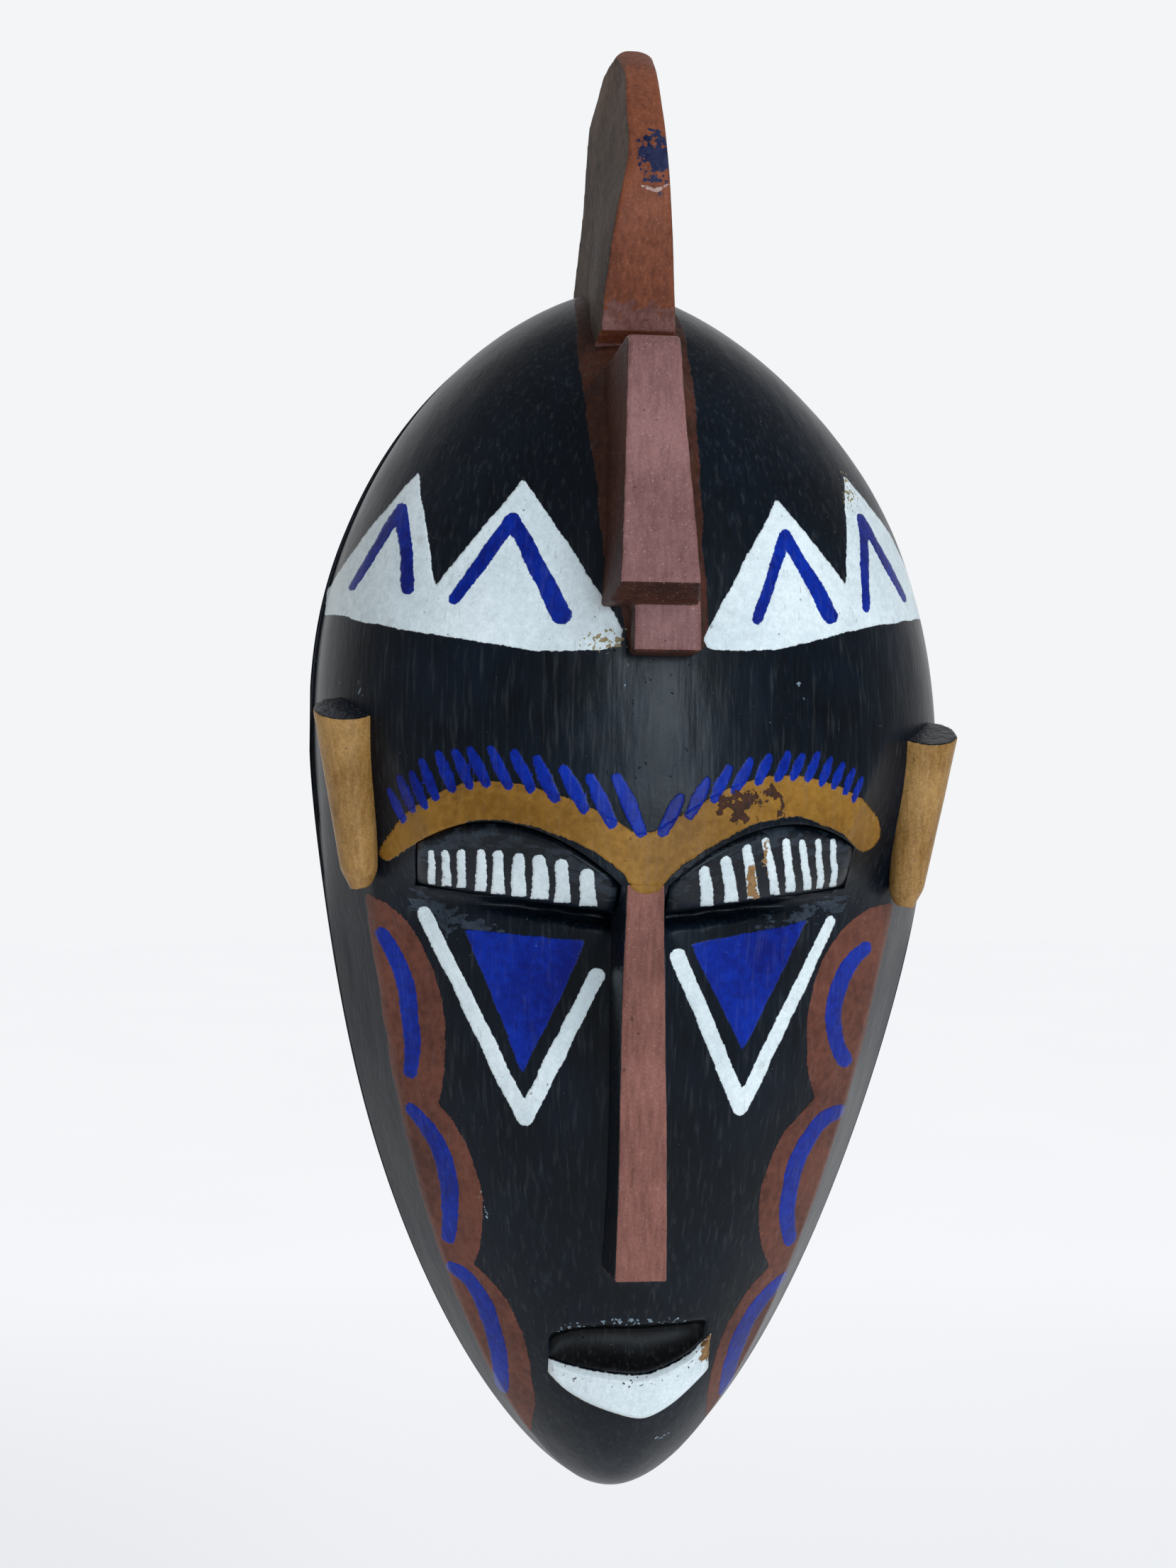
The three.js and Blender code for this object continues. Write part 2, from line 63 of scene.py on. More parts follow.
# ---- the form of the face
FACE = {"half_width": 106, "crown": 166, "chin": -238, "forehead": 87, "cheek": 66, "rim": 4}
HOLLOW = {"half_width": 94, "crown": 141, "chin": -217, "forehead": 74, "cheek": 53, "rim": -2}
WIDEST = 10  # height of the widest level
# Powers of the curves from the middle out to the crown, chin and sides.
CROWN_CURVE = (2.3, 0.67)
CHIN_CURVE = (1.6, 0.6)
FOREHEAD_RISE = (2.6, 0.5)
FOREHEAD_ROUND = (2.2, 0.55)
CHEEK_FALL = (3.2, 0.55)
# The outline swells to the right at the cheeks and leans left at the crown.
SWAY_RIGHT = (3.1, -30, 75)  # how much, about what height, and the spread in height
SWAY_LEFT = (3.2, 80, 160)  # how much, and from what height to what height it grows
FACET_AT = 0.83  # where the side plane of the lower face begins, share of width
FACET_DEPTH = 0.44  # depth there, share of the middle
# Lower edge of the brow: x and height of its peaks, and its drop and run from them.
BROW_PEAK = (46, -11)
BROW_TO_NOSE = (19, 40)
BROW_TO_TEMPLE = (14, 30)
EYE = {"inner": 10.5, "bottom": -38.5, "rise": 0.12, "rise_ends": 80}
LID = {"overhang": 5, "sunk": 1.5, "thickness": 6.5, "bulge": 0.7, "under_brow": 1.0}
# The forehead steps down to the cheeks at the eyes: how far below and above the eyelids' lower
# edge the step reaches, and how much further at the temples, where it softens out.
STEP_BELOW = (4, 26)
STEP_ABOVE = (10, 44)
TEMPLE = (56, 84)  # from and to what x
HOLLOW_STEP = 60  # the same step inside the hollow, spread over this height


def unit(value):
    """The value held between 0 and 1."""
    return np.clip(value, 0, 1)


def smooth(low, high, value):
    """Smooth step from 0 at low to 1 at high."""
    t = unit((value - low) / (high - low))
    return t * t * (3 - 2 * t)


def rounded(share, curve):
    """A curve from 1 in the middle to 0 at the edge."""
    power, root = curve
    return (1 - share ** power) ** root


def sway(z):
    """How far the middle of the hand-carved outline strays to the right."""
    right, height, spread = SWAY_RIGHT
    left, start, end = SWAY_LEFT
    return right * np.exp(-((z - height) / spread) ** 2) - left * smooth(start, end, z)


def share_to(z, end):
    """0 at the widest level and 1 at the end, which is the crown's or the chin's height."""
    return unit((z - WIDEST) / (end - WIDEST))


def half_width(z, form=FACE):
    above = rounded(share_to(z, form["crown"]), CROWN_CURVE)
    below = rounded(share_to(z, form["chin"]), CHIN_CURVE)
    return form["half_width"] * np.where(z > WIDEST, above, below)


def forehead_depth(form, across, z):
    middle = form["forehead"] * rounded(share_to(z, form["crown"]), FOREHEAD_RISE)
    return form["rim"] + np.maximum(0, middle - form["rim"]) * rounded(across, FOREHEAD_ROUND)


def cheek_depth(form, across, z):
    middle = form["cheek"] * rounded(share_to(z, form["chin"]), CHEEK_FALL)
    front = 1 - (1 - FACET_DEPTH) * (across / FACET_AT) ** 2
    side = FACET_DEPTH * (1 - across) / (1 - FACET_AT)
    facet = np.where(across < FACET_AT, front, side)
    return form["rim"] + np.maximum(0, middle - form["rim"]) * facet


def brow_edge(x):
    """Height of the lower edge of the brow."""
    side = np.abs(x) - BROW_PEAK[0]
    falls = [drop * (side / run) ** 2 for drop, run in (BROW_TO_NOSE, BROW_TO_TEMPLE)]
    return BROW_PEAK[1] - np.where(side < 0, *falls)


def lid_line(x):
    """Height of the eyelids' lower edge."""
    return EYE["bottom"] + EYE["rise"] * (np.minimum(np.abs(x), EYE["rise_ends"]) - EYE["inner"])


def lid_high(x):
    """Height of the eyelids' upper edge, just under the brow."""
    return brow_edge(x) - LID["under_brow"]


def across_at(x, z, form=FACE):
    return unit(np.abs(x - sway(z)) / np.maximum(half_width(z, form), 1e-6))


def face_depth(x, z, ledge=1.0):
    """Depth of the face; the last few millimetres of its rim are a flat ledge."""
    across = unit(across_at(x, z) / ledge)
    temple = smooth(*TEMPLE, np.abs(x))
    low = lid_line(x) - STEP_BELOW[0] - STEP_BELOW[1] * temple
    high = lid_line(x) + STEP_ABOVE[0] + STEP_ABOVE[1] * temple
    share = smooth(low, high, z)
    return (1 - share) * cheek_depth(FACE, across, z) + share * forehead_depth(FACE, across, z)


def hollow_depth(x, z):
    across = across_at(x, z, HOLLOW)
    share = smooth(0, HOLLOW_STEP, z)
    return (1 - share) * cheek_depth(HOLLOW, across, z) + share * forehead_depth(HOLLOW, across, z)


def lid_depth(x, z):
    """An eyelid bulges from just under the brow out over the cheek."""
    across = across_at(x, z)
    climb = unit((z - lid_line(x)) / (brow_edge(x) - lid_line(x))) ** LID["bulge"]
    low = cheek_depth(FACE, across, z) + LID["overhang"]
    return (1 - climb) * low + climb * (forehead_depth(FACE, across, z) - LID["sunk"])


def lid_back(x, z):
    return lid_depth(x, z) - LID["thickness"]


# ---- noise for carved wood
LATTICE_SIZE = 32
LATTICE = np.random.default_rng(7).random((LATTICE_SIZE,) * 3)


def grain(points, size, stretch=(1, 1, 1), shift=0.0):
    """Smooth value noise from -1 to 1 over lumps of the given size, drawn out by stretch."""
    scaled = (points + shift) / (size * np.asarray(stretch, float))
    cell = np.floor(scaled).astype(int)
    part = scaled - cell
    part = part * part * (3 - 2 * part)
    total = np.zeros(len(points))
    for corner in itertools.product((0, 1), repeat=3):
        at = (cell + corner) % LATTICE_SIZE
        weight = np.prod(np.where(corner, part, 1 - part), axis=1)
        total += weight * LATTICE[at[:, 0], at[:, 1], at[:, 2]]
    return 2 * total - 1


def chisel_relief(points):
    """Broad waves, long shallow gouges down the grain and fine brush ridges."""
    return (0.6 * grain(points, 34) + 0.13 * grain(points, 5, (1, 1, 4))
            + 0.05 * grain(points, 1.8, (1, 1, 5), 50))


# ---- painted patterns
# Every pattern is a signed distance in the x, z plane: positive inside, in millimetres.
FAR = 1e3  # farther than any point of the mask is from a pattern
CURVE_STEPS = 6  # points on each stretch of a smooth line
ARC_POINTS = 14


def to_segment(p, a, b):
    """Share of the way from a to b nearest to each point, and the distance to it."""
    along = b - a
    t = unit(((p - a) @ along) / (along @ along))
    return t, np.hypot(*(p - a - t[:, None] * along).T)


def stroke(p, points, widths):
    """A brush stroke along a broken line; widths are the half widths at its points."""
    best = np.full(len(p), -FAR)
    points = np.asarray(points, float)
    widths = np.broadcast_to(np.asarray(widths, float), len(points))
    for (a, b), (wa, wb) in zip(zip(points, points[1:]), zip(widths, widths[1:])):
        t, gap = to_segment(p, a, b)
        best = np.maximum(best, wa + (wb - wa) * t - gap)
    return best


def polygon(p, corners):
    """A closed shape with straight sides."""
    corners = np.asarray(corners, float)
    gap = np.full(len(p), FAR)
    inside = np.zeros(len(p), bool)
    for a, b in zip(corners, np.roll(corners, -1, axis=0)):
        gap = np.minimum(gap, to_segment(p, a, b)[1])
        crosses = (a[1] > p[:, 1]) != (b[1] > p[:, 1])
        slope = (b[0] - a[0]) / (b[1] - a[1] if b[1] != a[1] else 1e-9)
        inside ^= crosses & (p[:, 0] < a[0] + (p[:, 1] - a[1]) * slope)
    return np.where(inside, gap, -gap)


def oval(p, middle, radii):
    reach = np.hypot((p[:, 0] - middle[0]) / radii[0], (p[:, 1] - middle[1]) / radii[1])
    return (1 - reach) * min(radii)


def oval_arc(middle, radii, start, end):
    """Points along an oval, angles in degrees from +x, anticlockwise."""
    angles = np.radians(np.linspace(start, end, ARC_POINTS))
    return [(middle[0] + radii[0] * math.cos(a), middle[1] + radii[1] * math.sin(a)) for a in angles]


def curved(points):
    """A smooth line through the points."""
    points = np.asarray(points, float)
    ends = np.vstack([2 * points[0] - points[1], points, 2 * points[-1] - points[-2]])
    line = []
    for a, b, c, d in zip(ends, ends[1:], ends[2:], ends[3:]):
        for t in np.arange(CURVE_STEPS) / CURVE_STEPS:
            line.append(0.5 * (2 * b + (c - a) * t + (2 * a - 5 * b + 4 * c - d) * t ** 2
                               + (3 * b - a - 3 * c + d) * t ** 3))
    return line + [points[-1]]


# Middle lines of the painted brows, from the temples to the nose.
BROW_LEFT = [(-76.5, -22), (-66, -12), (-50, -5.3), (-34, -6.6), (-18, -12.5), (-7, -18.5), (0, -25)]
BROW_RIGHT = [(72.5, -14), (62, -7.5), (46, -3.2), (31, -5.3), (17, -12), (7, -18.5), (0, -25)]
BROW_LEFT_WIDTH = 5.6
BROW_RIGHT_WIDTH = 6.3
ZIGZAG_LEFT = [
    (-68, 96.5), (-62.6, 59), (-36.5, 91), (-20, 65), (-7.5, 45), (-8, 41), (-14, 39.2), (-33, 39),
    (-63, 44.4), (-84, 49.5), (-99, 55.5), (-98, 64), (-92.5, 70),
]
ZIGZAG_RIGHT = [
    (16, 43), (18, 40), (38.5, 40.5), (53.5, 44.5), (78, 51), (101, 57), (103, 62), (86, 82),
    (66.5, 99), (63, 62), (40.5, 87),
]
# Blue chevrons on the zigzag: foot, tip, foot, and the half width of the brush.
CHEVRONS = [
    ([(-88.5, 61.5), (-73, 85), (-70.5, 58.5)], [1.3, 2.0, 1.9]),
    ([(-56.5, 55), (-39.5, 78.5), (-25.5, 49.5)], [1.9, 2.3, 2.9]),
    ([(33.2, 49.5), (42.5, 75.5), (57.3, 52)], [1.7, 2.0, 2.7]),
    ([(70.5, 55.5), (71.5, 84.5), (88, 61.5)], [1.6, 1.9, 1.7]),
    ([(93, 76.5), (98.5, 69)], [0.8, 1.3]),
]
CHEEK_VS = [
    ([(-65, -41), (-33, -103.6), (-12.3, -58.6)], [2.2, 2.6, 2.5]),
    ([(12.6, -52.5), (34.4, -100.4), (64, -43)], [2.5, 2.5, 1.9]),
]
CHEEK_TRIANGLES = [
    [(-52.5, -45.5), (-15.5, -48), (-33.8, -89.5)],
    [(16.5, -48.7), (55.2, -42.5), (34.6, -82.5)],
]
# Red-brown scallops down each side: middle and radii of the oval, then the same of the
# blue arc inside it, with the angles where the arc ends.
SCALLOPS = [
    ((-88, -84), (30.5, 49), (-88, -84), (19.8, 41), 60, -12),
    ((-75, -138), (29.7, 42), (-75, -138), (19.5, 35.3), 70, -14),
    ((-55.8, -206), (28.3, 54), (-55.8, -206), (18.4, 49), 86, 8),
    ((86, -78), (29.5, 40), (86, -73), (19.3, 22.5), 113, 226),
    ((72, -134.5), (29.5, 36), (72, -134.5), (18.6, 28), 90, 209),
    ((58, -197), (28.7, 43.5), (58, -197), (21.5, 34.2), 98, 186),
]
ARC_WIDTHS = {"left": 2.9, "right": 3.3}
SCALLOP_REACH = 0.85  # the scallops stop where the side plane begins, share of width
# Red-brown paint round the comb's foot, from the crown down to its lower end.
SKIRT = [(-2.5, 152), (-1.8, 133), (-0.9, 112), (0.4, 92), (1.6, 70), (3.6, 59), (5.6, 46)]
SKIRT_WIDTHS = [16.5, 17.3, 16.8, 15.5, 14.9, 14.0, 12.2]
SKIRT_END = 40
# Scratches in the paint: forehead, crown, chin, cheek and temple.
SCRATCHES = [
    [(-6, 38), (-6.4, 29)], [(46, 31), (49, 25)], [(-36, 84), (-37, 79)],
    [(10, -213), (16, -212)], [(-47, -128), (-44, -137)], [(-86, 33), (-85, 27)],
]
SCRATCH_WIDTH = 0.35
# White bars on the eyelids: x at the top, x at the bottom, height of the top, half width.
BARS_LEFT = [
    (-62.6, -62.5, -20, 1.05), (-58.4, -58.1, -19.8, 1.25), (-53.8, -53.5, -19.7, 1.3),
    (-47.9, -47.4, -19.5, 1.55), (-42.8, -42.3, -19.7, 1.75), (-36.9, -36.1, -20.4, 2.0),
    (-30.7, -29.9, -20.8, 2.35), (-24.3, -23.2, -22.2, 2.15), (-16.8, -15.6, -24.4, 2.35),
]
BARS_RIGHT = [
    (18.2, 21.0, -23.8, 1.8), (24.7, 28.5, -20.6, 2.0), (30.9, 35.7, -17.5, 1.7),
    (36.6, 43.2, -15.4, 1.35), (43.5, 48.1, -15.5, 1.45), (48.9, 53.8, -15.9, 1.25),
    (54.2, 58.3, -15.8, 1.1), (59.1, 63.2, -15.6, 1.1),
]
# Lashes on each brow: how many, where the first stands and how far the next, how much closer
# every further one comes, length of the first, half width, and lean in mm per mm of height.
LASHES_LEFT = (13, 1.8, 8.8, 0.275, 20, 2.3, 0.46)
LASHES_RIGHT = (12, 5.1, 7.7, 0.22, 14.5, 2.1, 0.5)
LOWEST_LASH = -14  # height of the feet of the lashes beside the nose
LASH_NARROWING = 0.075  # how much narrower each further lash is


def brow_paint(p):
    left_line = curved(BROW_LEFT)
    left_widths = BROW_LEFT_WIDTH * np.interp(range(len(left_line)), [0, 5, 9], [0.45, 0.85, 1])
    left = stroke(p, left_line, left_widths)
    right = stroke(p, curved(BROW_RIGHT), BROW_RIGHT_WIDTH)
    bridge = stroke(p, [(0, -20), (0.3, -26.5)], 5.9)
    return all_of([left, right, bridge])


def lash_row(p, side, brow, brow_width, row, random):
    """Lashes standing on one brow, shorter and closer towards the temple."""
    count, first, apart, closer, long, half, slant = row
    best = np.full(len(p), -FAR)
    line = np.asarray(curved(brow))
    for i in range(count):
        out = first + apart * i - closer * i * (i - 1)
        x = side * (out + random.uniform(-0.5, 0.5))
        nearest = line[np.argmin(np.abs(line[:, 0] - x))]
        foot = np.array([x, max(nearest[1] + brow_width - 0.6, LOWEST_LASH)])
        length = (0.6 + 0.4 * math.exp(-i / 3)) * long * random.uniform(0.94, 1.06)
        lean = side * (slant + random.uniform(-0.05, 0.05))
        along = np.array([lean, 1]) / math.hypot(lean, 1)
        wide = half - LASH_NARROWING * i
        points = [foot, foot + along * length * 0.45, foot + along * (length - wide)]
        best = np.maximum(best, stroke(p, points, [wide * 0.75, wide, wide * 0.65]))
    return best


def lashes(p):
    random = np.random.default_rng(11)
    left = lash_row(p, -1, BROW_LEFT, BROW_LEFT_WIDTH, LASHES_LEFT, random)
    right = lash_row(p, 1, BROW_RIGHT, BROW_RIGHT_WIDTH, LASHES_RIGHT, random)
    return np.maximum(left, right)


def bars(p, rows):
    """Bars with a rounded top, a little wider and cut off square below."""
    best = np.full(len(p), -FAR)
    for top_x, low_x, top, width in rows:
        low = float(lid_line(np.array(low_x)))
        ends = [(top_x, top - width), (low_x, low)]
        bar = stroke(p, ends, [width * 0.85, width * 1.15])
        best = np.maximum(best, np.minimum(bar, p[:, 1] - low - 1.0))
    return best


def all_of(shapes):
    return np.maximum.reduce(list(shapes))


def white_paint(p):
    return all_of([polygon(p, ZIGZAG_LEFT), polygon(p, ZIGZAG_RIGHT)]
                  + [stroke(p, line, widths) for line, widths in CHEEK_VS])


def blue_paint(p):
    arcs = []
    for _, _, middle, radii, start, end in SCALLOPS:
        width = ARC_WIDTHS["left" if middle[0] < 0 else "right"]
        line = oval_arc(middle, radii, start, end)
        taper = width * (0.55 + 0.45 * np.sin(np.linspace(0.15, 1, len(line)) * 2.6))
        arcs.append(stroke(p, line, taper))
    return all_of([stroke(p, line, widths) for line, widths in CHEVRONS]
                  + [polygon(p, corners) for corners in CHEEK_TRIANGLES]
                  + arcs + [lashes(p)])


def red_paint(p):
    x, z = p.T
    reach = (SCALLOP_REACH - across_at(x, z)) * half_width(z)
    scallops = all_of([oval(p, middle, radii) for middle, radii, *_ in SCALLOPS])
    return np.minimum(scallops, reach)


def skirt_paint(p):
    return np.minimum(stroke(p, SKIRT, SKIRT_WIDTHS), p[:, 1] - SKIRT_END)


def wobble(points):
    """Pattern coordinates shaken a little, as by a hand-held brush."""
    x = points[:, 0] + 0.45 * grain(points, 9, shift=11) + 0.16 * grain(points, 2.5, shift=31)
    z = points[:, 2] + 0.45 * grain(points, 9, shift=71) + 0.16 * grain(points, 2.5, shift=91)
    return np.column_stack([x, z])


# ---- mesh making
BOX_MARGIN = 0.0002  # metres kept free inside the CAD box


def to_world(points):
    """Millimetres from the brow line to metres from the wall mount, kept inside the CAD box."""
    world = np.asarray(points, float) * MM
    world[:, 2] -= MOUNT_HEIGHT * MM
    low = np.asarray(CAD_BOX[0]) + BOX_MARGIN
    high = np.asarray(CAD_BOX[1]) - BOX_MARGIN
    return np.clip(world, low, high)


def per_vertex(obj, kind):
    """A piece's points ("co") or normals ("normal"), one row for each vertex."""
    vectors = np.empty(len(obj.data.vertices) * 3)
    obj.data.vertices.foreach_get(kind, vectors)
    return vectors.reshape(-1, 3)


def to_local(obj):
    """A piece's points in millimetres from the brow line."""
    points = per_vertex(obj, "co") / MM
    points[:, 2] += MOUNT_HEIGHT
    return points


def put_points(obj, points):
    obj.data.vertices.foreach_set("co", to_world(points).ravel())
    obj.data.update()


def new_object(name, data):
    obj = bpy.data.objects.new(name, data)
    bpy.context.scene.collection.objects.link(obj)
    return obj


def make_object(name, points, faces):
    mesh = bpy.data.meshes.new(name)
    mesh.from_pydata(to_world(points).tolist(), [], [tuple(int(i) for i in face) for face in faces])
    mesh.validate()
    for face in mesh.polygons:
        face.use_smooth = True
    return new_object(name, mesh)


def grid_faces(rows, columns, start=0, flip=False):
    index = start + np.arange(rows * columns).reshape(rows, columns)
    a, b, c, d = index[:-1, :-1], index[:-1, 1:], index[1:, 1:], index[1:, :-1]
    order = (a, d, c, b) if flip else (a, b, c, d)
    return np.stack([part.ravel() for part in order], axis=1)


def closed_sheet(name, front, back):
    """A closed body between two grids of points that share their borders' order."""
    rows, columns = front.shape[:2]
    count = rows * columns
    points = np.vstack([front.reshape(-1, 3), back.reshape(-1, 3)])
    faces = [grid_faces(rows, columns), grid_faces(rows, columns, count, flip=True)]
    index = np.arange(count).reshape(rows, columns)
    border = np.concatenate([index[0, :-1], index[:-1, -1], index[-1, :0:-1], index[:0:-1, 0]])
    following = np.roll(border, -1)
    faces.append(np.stack([following, border, border + count, following + count], axis=1))
    return make_object(name, points, np.vstack(faces))


def slab(name, low, high, left, right, back, front, rows=40, columns=90):
    """A body over an outline: low(x) and high(x) bound it, back and front are its depths."""
    s = np.linspace(0, 1, columns)
    x = left + (right - left) * s
    t = np.linspace(0, 1, rows)[:, None]
    z = low(x)[None, :] * (1 - t) + high(x)[None, :] * t
    x = np.broadcast_to(x, z.shape)
    near = np.stack([x, -front(x, z), z], axis=2)
    far = np.stack([x, -back(x, z), z], axis=2)
    return closed_sheet(name, near, far)


def modify(obj, kind, **settings):
    """Adds a modifier and applies it at once."""
    modifier = obj.modifiers.new(kind.lower(), kind)
    for key, value in settings.items():
        setattr(modifier, key, value)
    bpy.context.view_layer.objects.active = obj
    with bpy.context.temp_override(object=obj, active_object=obj, selected_objects=[obj]):
        bpy.ops.object.modifier_apply(modifier=modifier.name)


def cut_away(obj, cutter):
    modify(obj, "BOOLEAN", object=cutter, operation="DIFFERENCE", solver="EXACT")
    bpy.data.objects.remove(cutter)


NOWHERE = -50  # distance that keeps a pattern off a vertex


def set_values(obj, **values):
    """Stores one number per vertex under each name, for the materials."""
    for name, numbers in values.items():
        layer = obj.data.attributes.new(name, "FLOAT", "POINT")
        layer.data.foreach_set("value", np.asarray(numbers, np.float32))


VOXEL = 0.7  # mm between the points of a carved copy
SMOOTHING = 6  # rounds of smoothing that wear its edges
ROUGHNESS = 0.6  # share of the face's chisel marks that it gets


def carved_copy(node, name, form):
    """A carved piece: its CAD solid with worn edges, chisel marks and its own small bends."""
    obj = new_object(name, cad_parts[node].data.copy())
    modify(obj, "REMESH", mode="VOXEL", voxel_size=VOXEL * MM, use_smooth_shade=True)
    modify(obj, "SMOOTH", factor=0.5, iterations=SMOOTHING)
    points = to_local(obj)
    points += per_vertex(obj, "normal") * (ROUGHNESS * chisel_relief(points))[:, None]
    form(points)
    put_points(obj, points)
    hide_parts(node)
    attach(obj, "mask")
    return obj


# ---- the pieces
ROWS, FRONT_COLUMNS, BACK_COLUMNS = 340, 200, 120
RIM_DEPTH = 0.1  # depth of the flat side to the wall
RIM_COLUMNS = 0.1  # share of the back's columns on each side that lie on the rim
THINNEST = 0.02  # narrowest the hollow's columns get, share of width
# Raised feet round the comb and the nose: line, half widths, height and reach.
FEET = [
    ([(1, 60), (0, 118)], [11, 12], 3.0, 2.6),
    ([(0, -52), (0, -143)], [8.5, 9.5], 1.6, 2.0),
]
SOCKET_ENDS = (6.6, 67.5)
SOCKET_GAPS = (0.4, 0.6)  # room left under and over an eyelid
IN_FRONT = 130  # depth in front of the whole face
# The strap's recess: lowest and highest point, half width, and its depths.
STRAP_RECESS = (137, 158.5, 6.5, -5, 4.2)
MOUTH_DEPTH, MOUTH_MIDDLE, MOUTH_HALF = 11, 1, 25
LIP_LEFT, LIP_RIGHT = -24, 28
LIP_TOP = [(-25, -182), (-15, -184), (-5, -185.4), (5, -186.2), (12, -184.5), (20, -181), (28, -175)]
LIP_BOTTOM = [
    (-25, -186.5), (-19, -192.5), (-12, -196.7), (-3, -200.3), (5, -202.8), (10, -202), (17, -198),
    (25, -191), (28.3, -187.6),
]
SLIT_DEPTH = 11


def face_rows():
    t = np.linspace(0, 1, ROWS)
    share = 0.7 * t + 0.3 * (1 - np.cos(np.pi * t)) / 2
    return FACE["chin"] + 0.5 + (FACE["crown"] - FACE["chin"] - 1) * share


def fillet(x, z, line, widths, height, reach):
    """A raised foot around a line, as left by the carver beside a standing part."""
    p = np.column_stack([x.ravel(), z.ravel()])
    gap = np.maximum(0, -stroke(p, line, widths)).reshape(x.shape)
    return height * np.exp(-(gap / reach) ** 1.5)


def height_of(points):
    """Height at any x of a smooth line through the points."""
    line = np.asarray(curved(points))
    return lambda x: np.interp(x, line[:, 0], line[:, 1])


lip_top = height_of(LIP_TOP)
lip_bottom = height_of(LIP_BOTTOM)


def mouth_rim(x):
    """Height of the mouth's upper rim: nearly level, falling towards the left corner."""
    left = np.clip(-x / 23, 0, 2)
    right = np.clip(x / 24, 0, 2)
    return -168.6 - 4.5 * left ** 3 - right ** 3


def mouth_scoop(x, z):
    """How far the mouth is hollowed out: steep under its upper rim, rising to the lip."""
    rim = mouth_rim(x)
    t = unit((rim - z) / (rim - lip_top(x)))
    ends = np.sqrt(unit(1 - ((x - MOUTH_MIDDLE) / MOUTH_HALF) ** 2))
    return MOUTH_DEPTH * smooth(0, 0.3, t) * (1 - t ** 2.2) * ends


def eye_groove(x, z):
    """The deep groove under each eyelid, fading out towards the temple."""
    line = lid_line(x)
    inner = smooth(56, 26, np.abs(x)) * smooth(6, 9, np.abs(x))
    return SLIT_DEPTH * inner * smooth(line - 5.5, line - 3.2, z) * smooth(line + 6, line + 3, z)


def adze_marks(points):
    """Staggered scoops left in the hollow by the adze, with soft ridges between them."""
    shape = points.shape[:2]
    flat = points.reshape(-1, 3)
    x = flat[:, 0] + 3 * grain(flat, 30, shift=5)
    z = flat[:, 2] + 4 * grain(flat, 36, shift=45)
    column = x / 13
    row = z / 27 + 0.5 * (np.floor(column) % 2)
    across = 2 * (column % 1) - 1
    along = 2 * (row % 1) - 1
    scoop = (1 - across ** 2) * (1 - along ** 4)
    return (-1.1 * scoop + 0.25 * grain(flat, 3, (1, 1, 3))).reshape(shape)


def constant(value):
    return lambda x, *_: np.full(np.shape(x), float(value))


def front_grid(z):
    """The carved front of the face, as rows of points."""
    s = np.linspace(-1, 1, FRONT_COLUMNS)
    x = sway(z) + half_width(z) * (0.75 * s + 0.25 * np.sin(s * np.pi / 2))
    z = np.broadcast_to(z, x.shape)
    ledge = 1 - 0.02 * smooth(-60, 10, z) * (x < 0)
    depth = face_depth(x, z, ledge)
    for foot in FEET:
        depth = depth + fillet(x, z, *foot)
    scoop = mouth_scoop(x, z)
    depth = depth - scoop - eye_groove(x, z)
    points = np.stack([x, -depth, z], axis=2)
    relief = chisel_relief(points.reshape(-1, 3)).reshape(x.shape)
    fade = smooth(0, 8, depth - FACE["rim"]) * 0.9 + 0.1
    fade = fade * (1 - 0.8 * smooth(0.5, 3, scoop))
    points[:, :, 1] -= relief * fade
    return points


def back_grid(z):
    """The flat rim and the adzed hollow inside it, as rows of points."""
    in_hollow = (z < HOLLOW["crown"]) & (z > HOLLOW["chin"])
    border = half_width(z, HOLLOW) / np.maximum(half_width(z), 1e-6)
    border = np.where(in_hollow, np.maximum(border, THINNEST), THINNEST)
    t = np.linspace(-1, 1, BACK_COLUMNS)
    inner = unit(np.abs(t) / (1 - RIM_COLUMNS))
    outer = unit((np.abs(t) - (1 - RIM_COLUMNS)) / RIM_COLUMNS)
    across = np.sign(t) * (border * np.sin(inner * np.pi / 2) + (1 - border) * outer)
    x = sway(z) + half_width(z) * across
    inside = in_hollow & (np.abs(across) < border)
    z = np.broadcast_to(z, x.shape)
    depth = np.where(inside, np.maximum(RIM_DEPTH, hollow_depth(x, z)), RIM_DEPTH)
    points = np.stack([x, -depth, z], axis=2)
    points[:, :, 1] += adze_marks(points) * smooth(3, 12, depth)
    return points


def cut_recesses(shell):
    """Sockets for the eyelids and a recess for the hanger's strap."""
    for side in (-1, 1):
        near, far = sorted(side * end for end in SOCKET_ENDS)
        socket = slab("socket", lambda x: lid_line(x) - SOCKET_GAPS[0],
                      lambda x: lid_high(x) + SOCKET_GAPS[1], near, far, lid_back, constant(IN_FRONT))
        cut_away(shell, socket)
    low, high, half, back, front = STRAP_RECESS
    recess = slab("recess", constant(low), constant(high), -half, half, constant(back), constant(front),
                  3, 3)
    cut_away(shell, recess)


def face_shell():
    z = face_rows()[:, None]
    shell = two_sided("face", front_grid(z), back_grid(z))
    cut_recesses(shell)
    paint_face(shell)
    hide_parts("face_shell")
    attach(shell, "mask")
    return shell


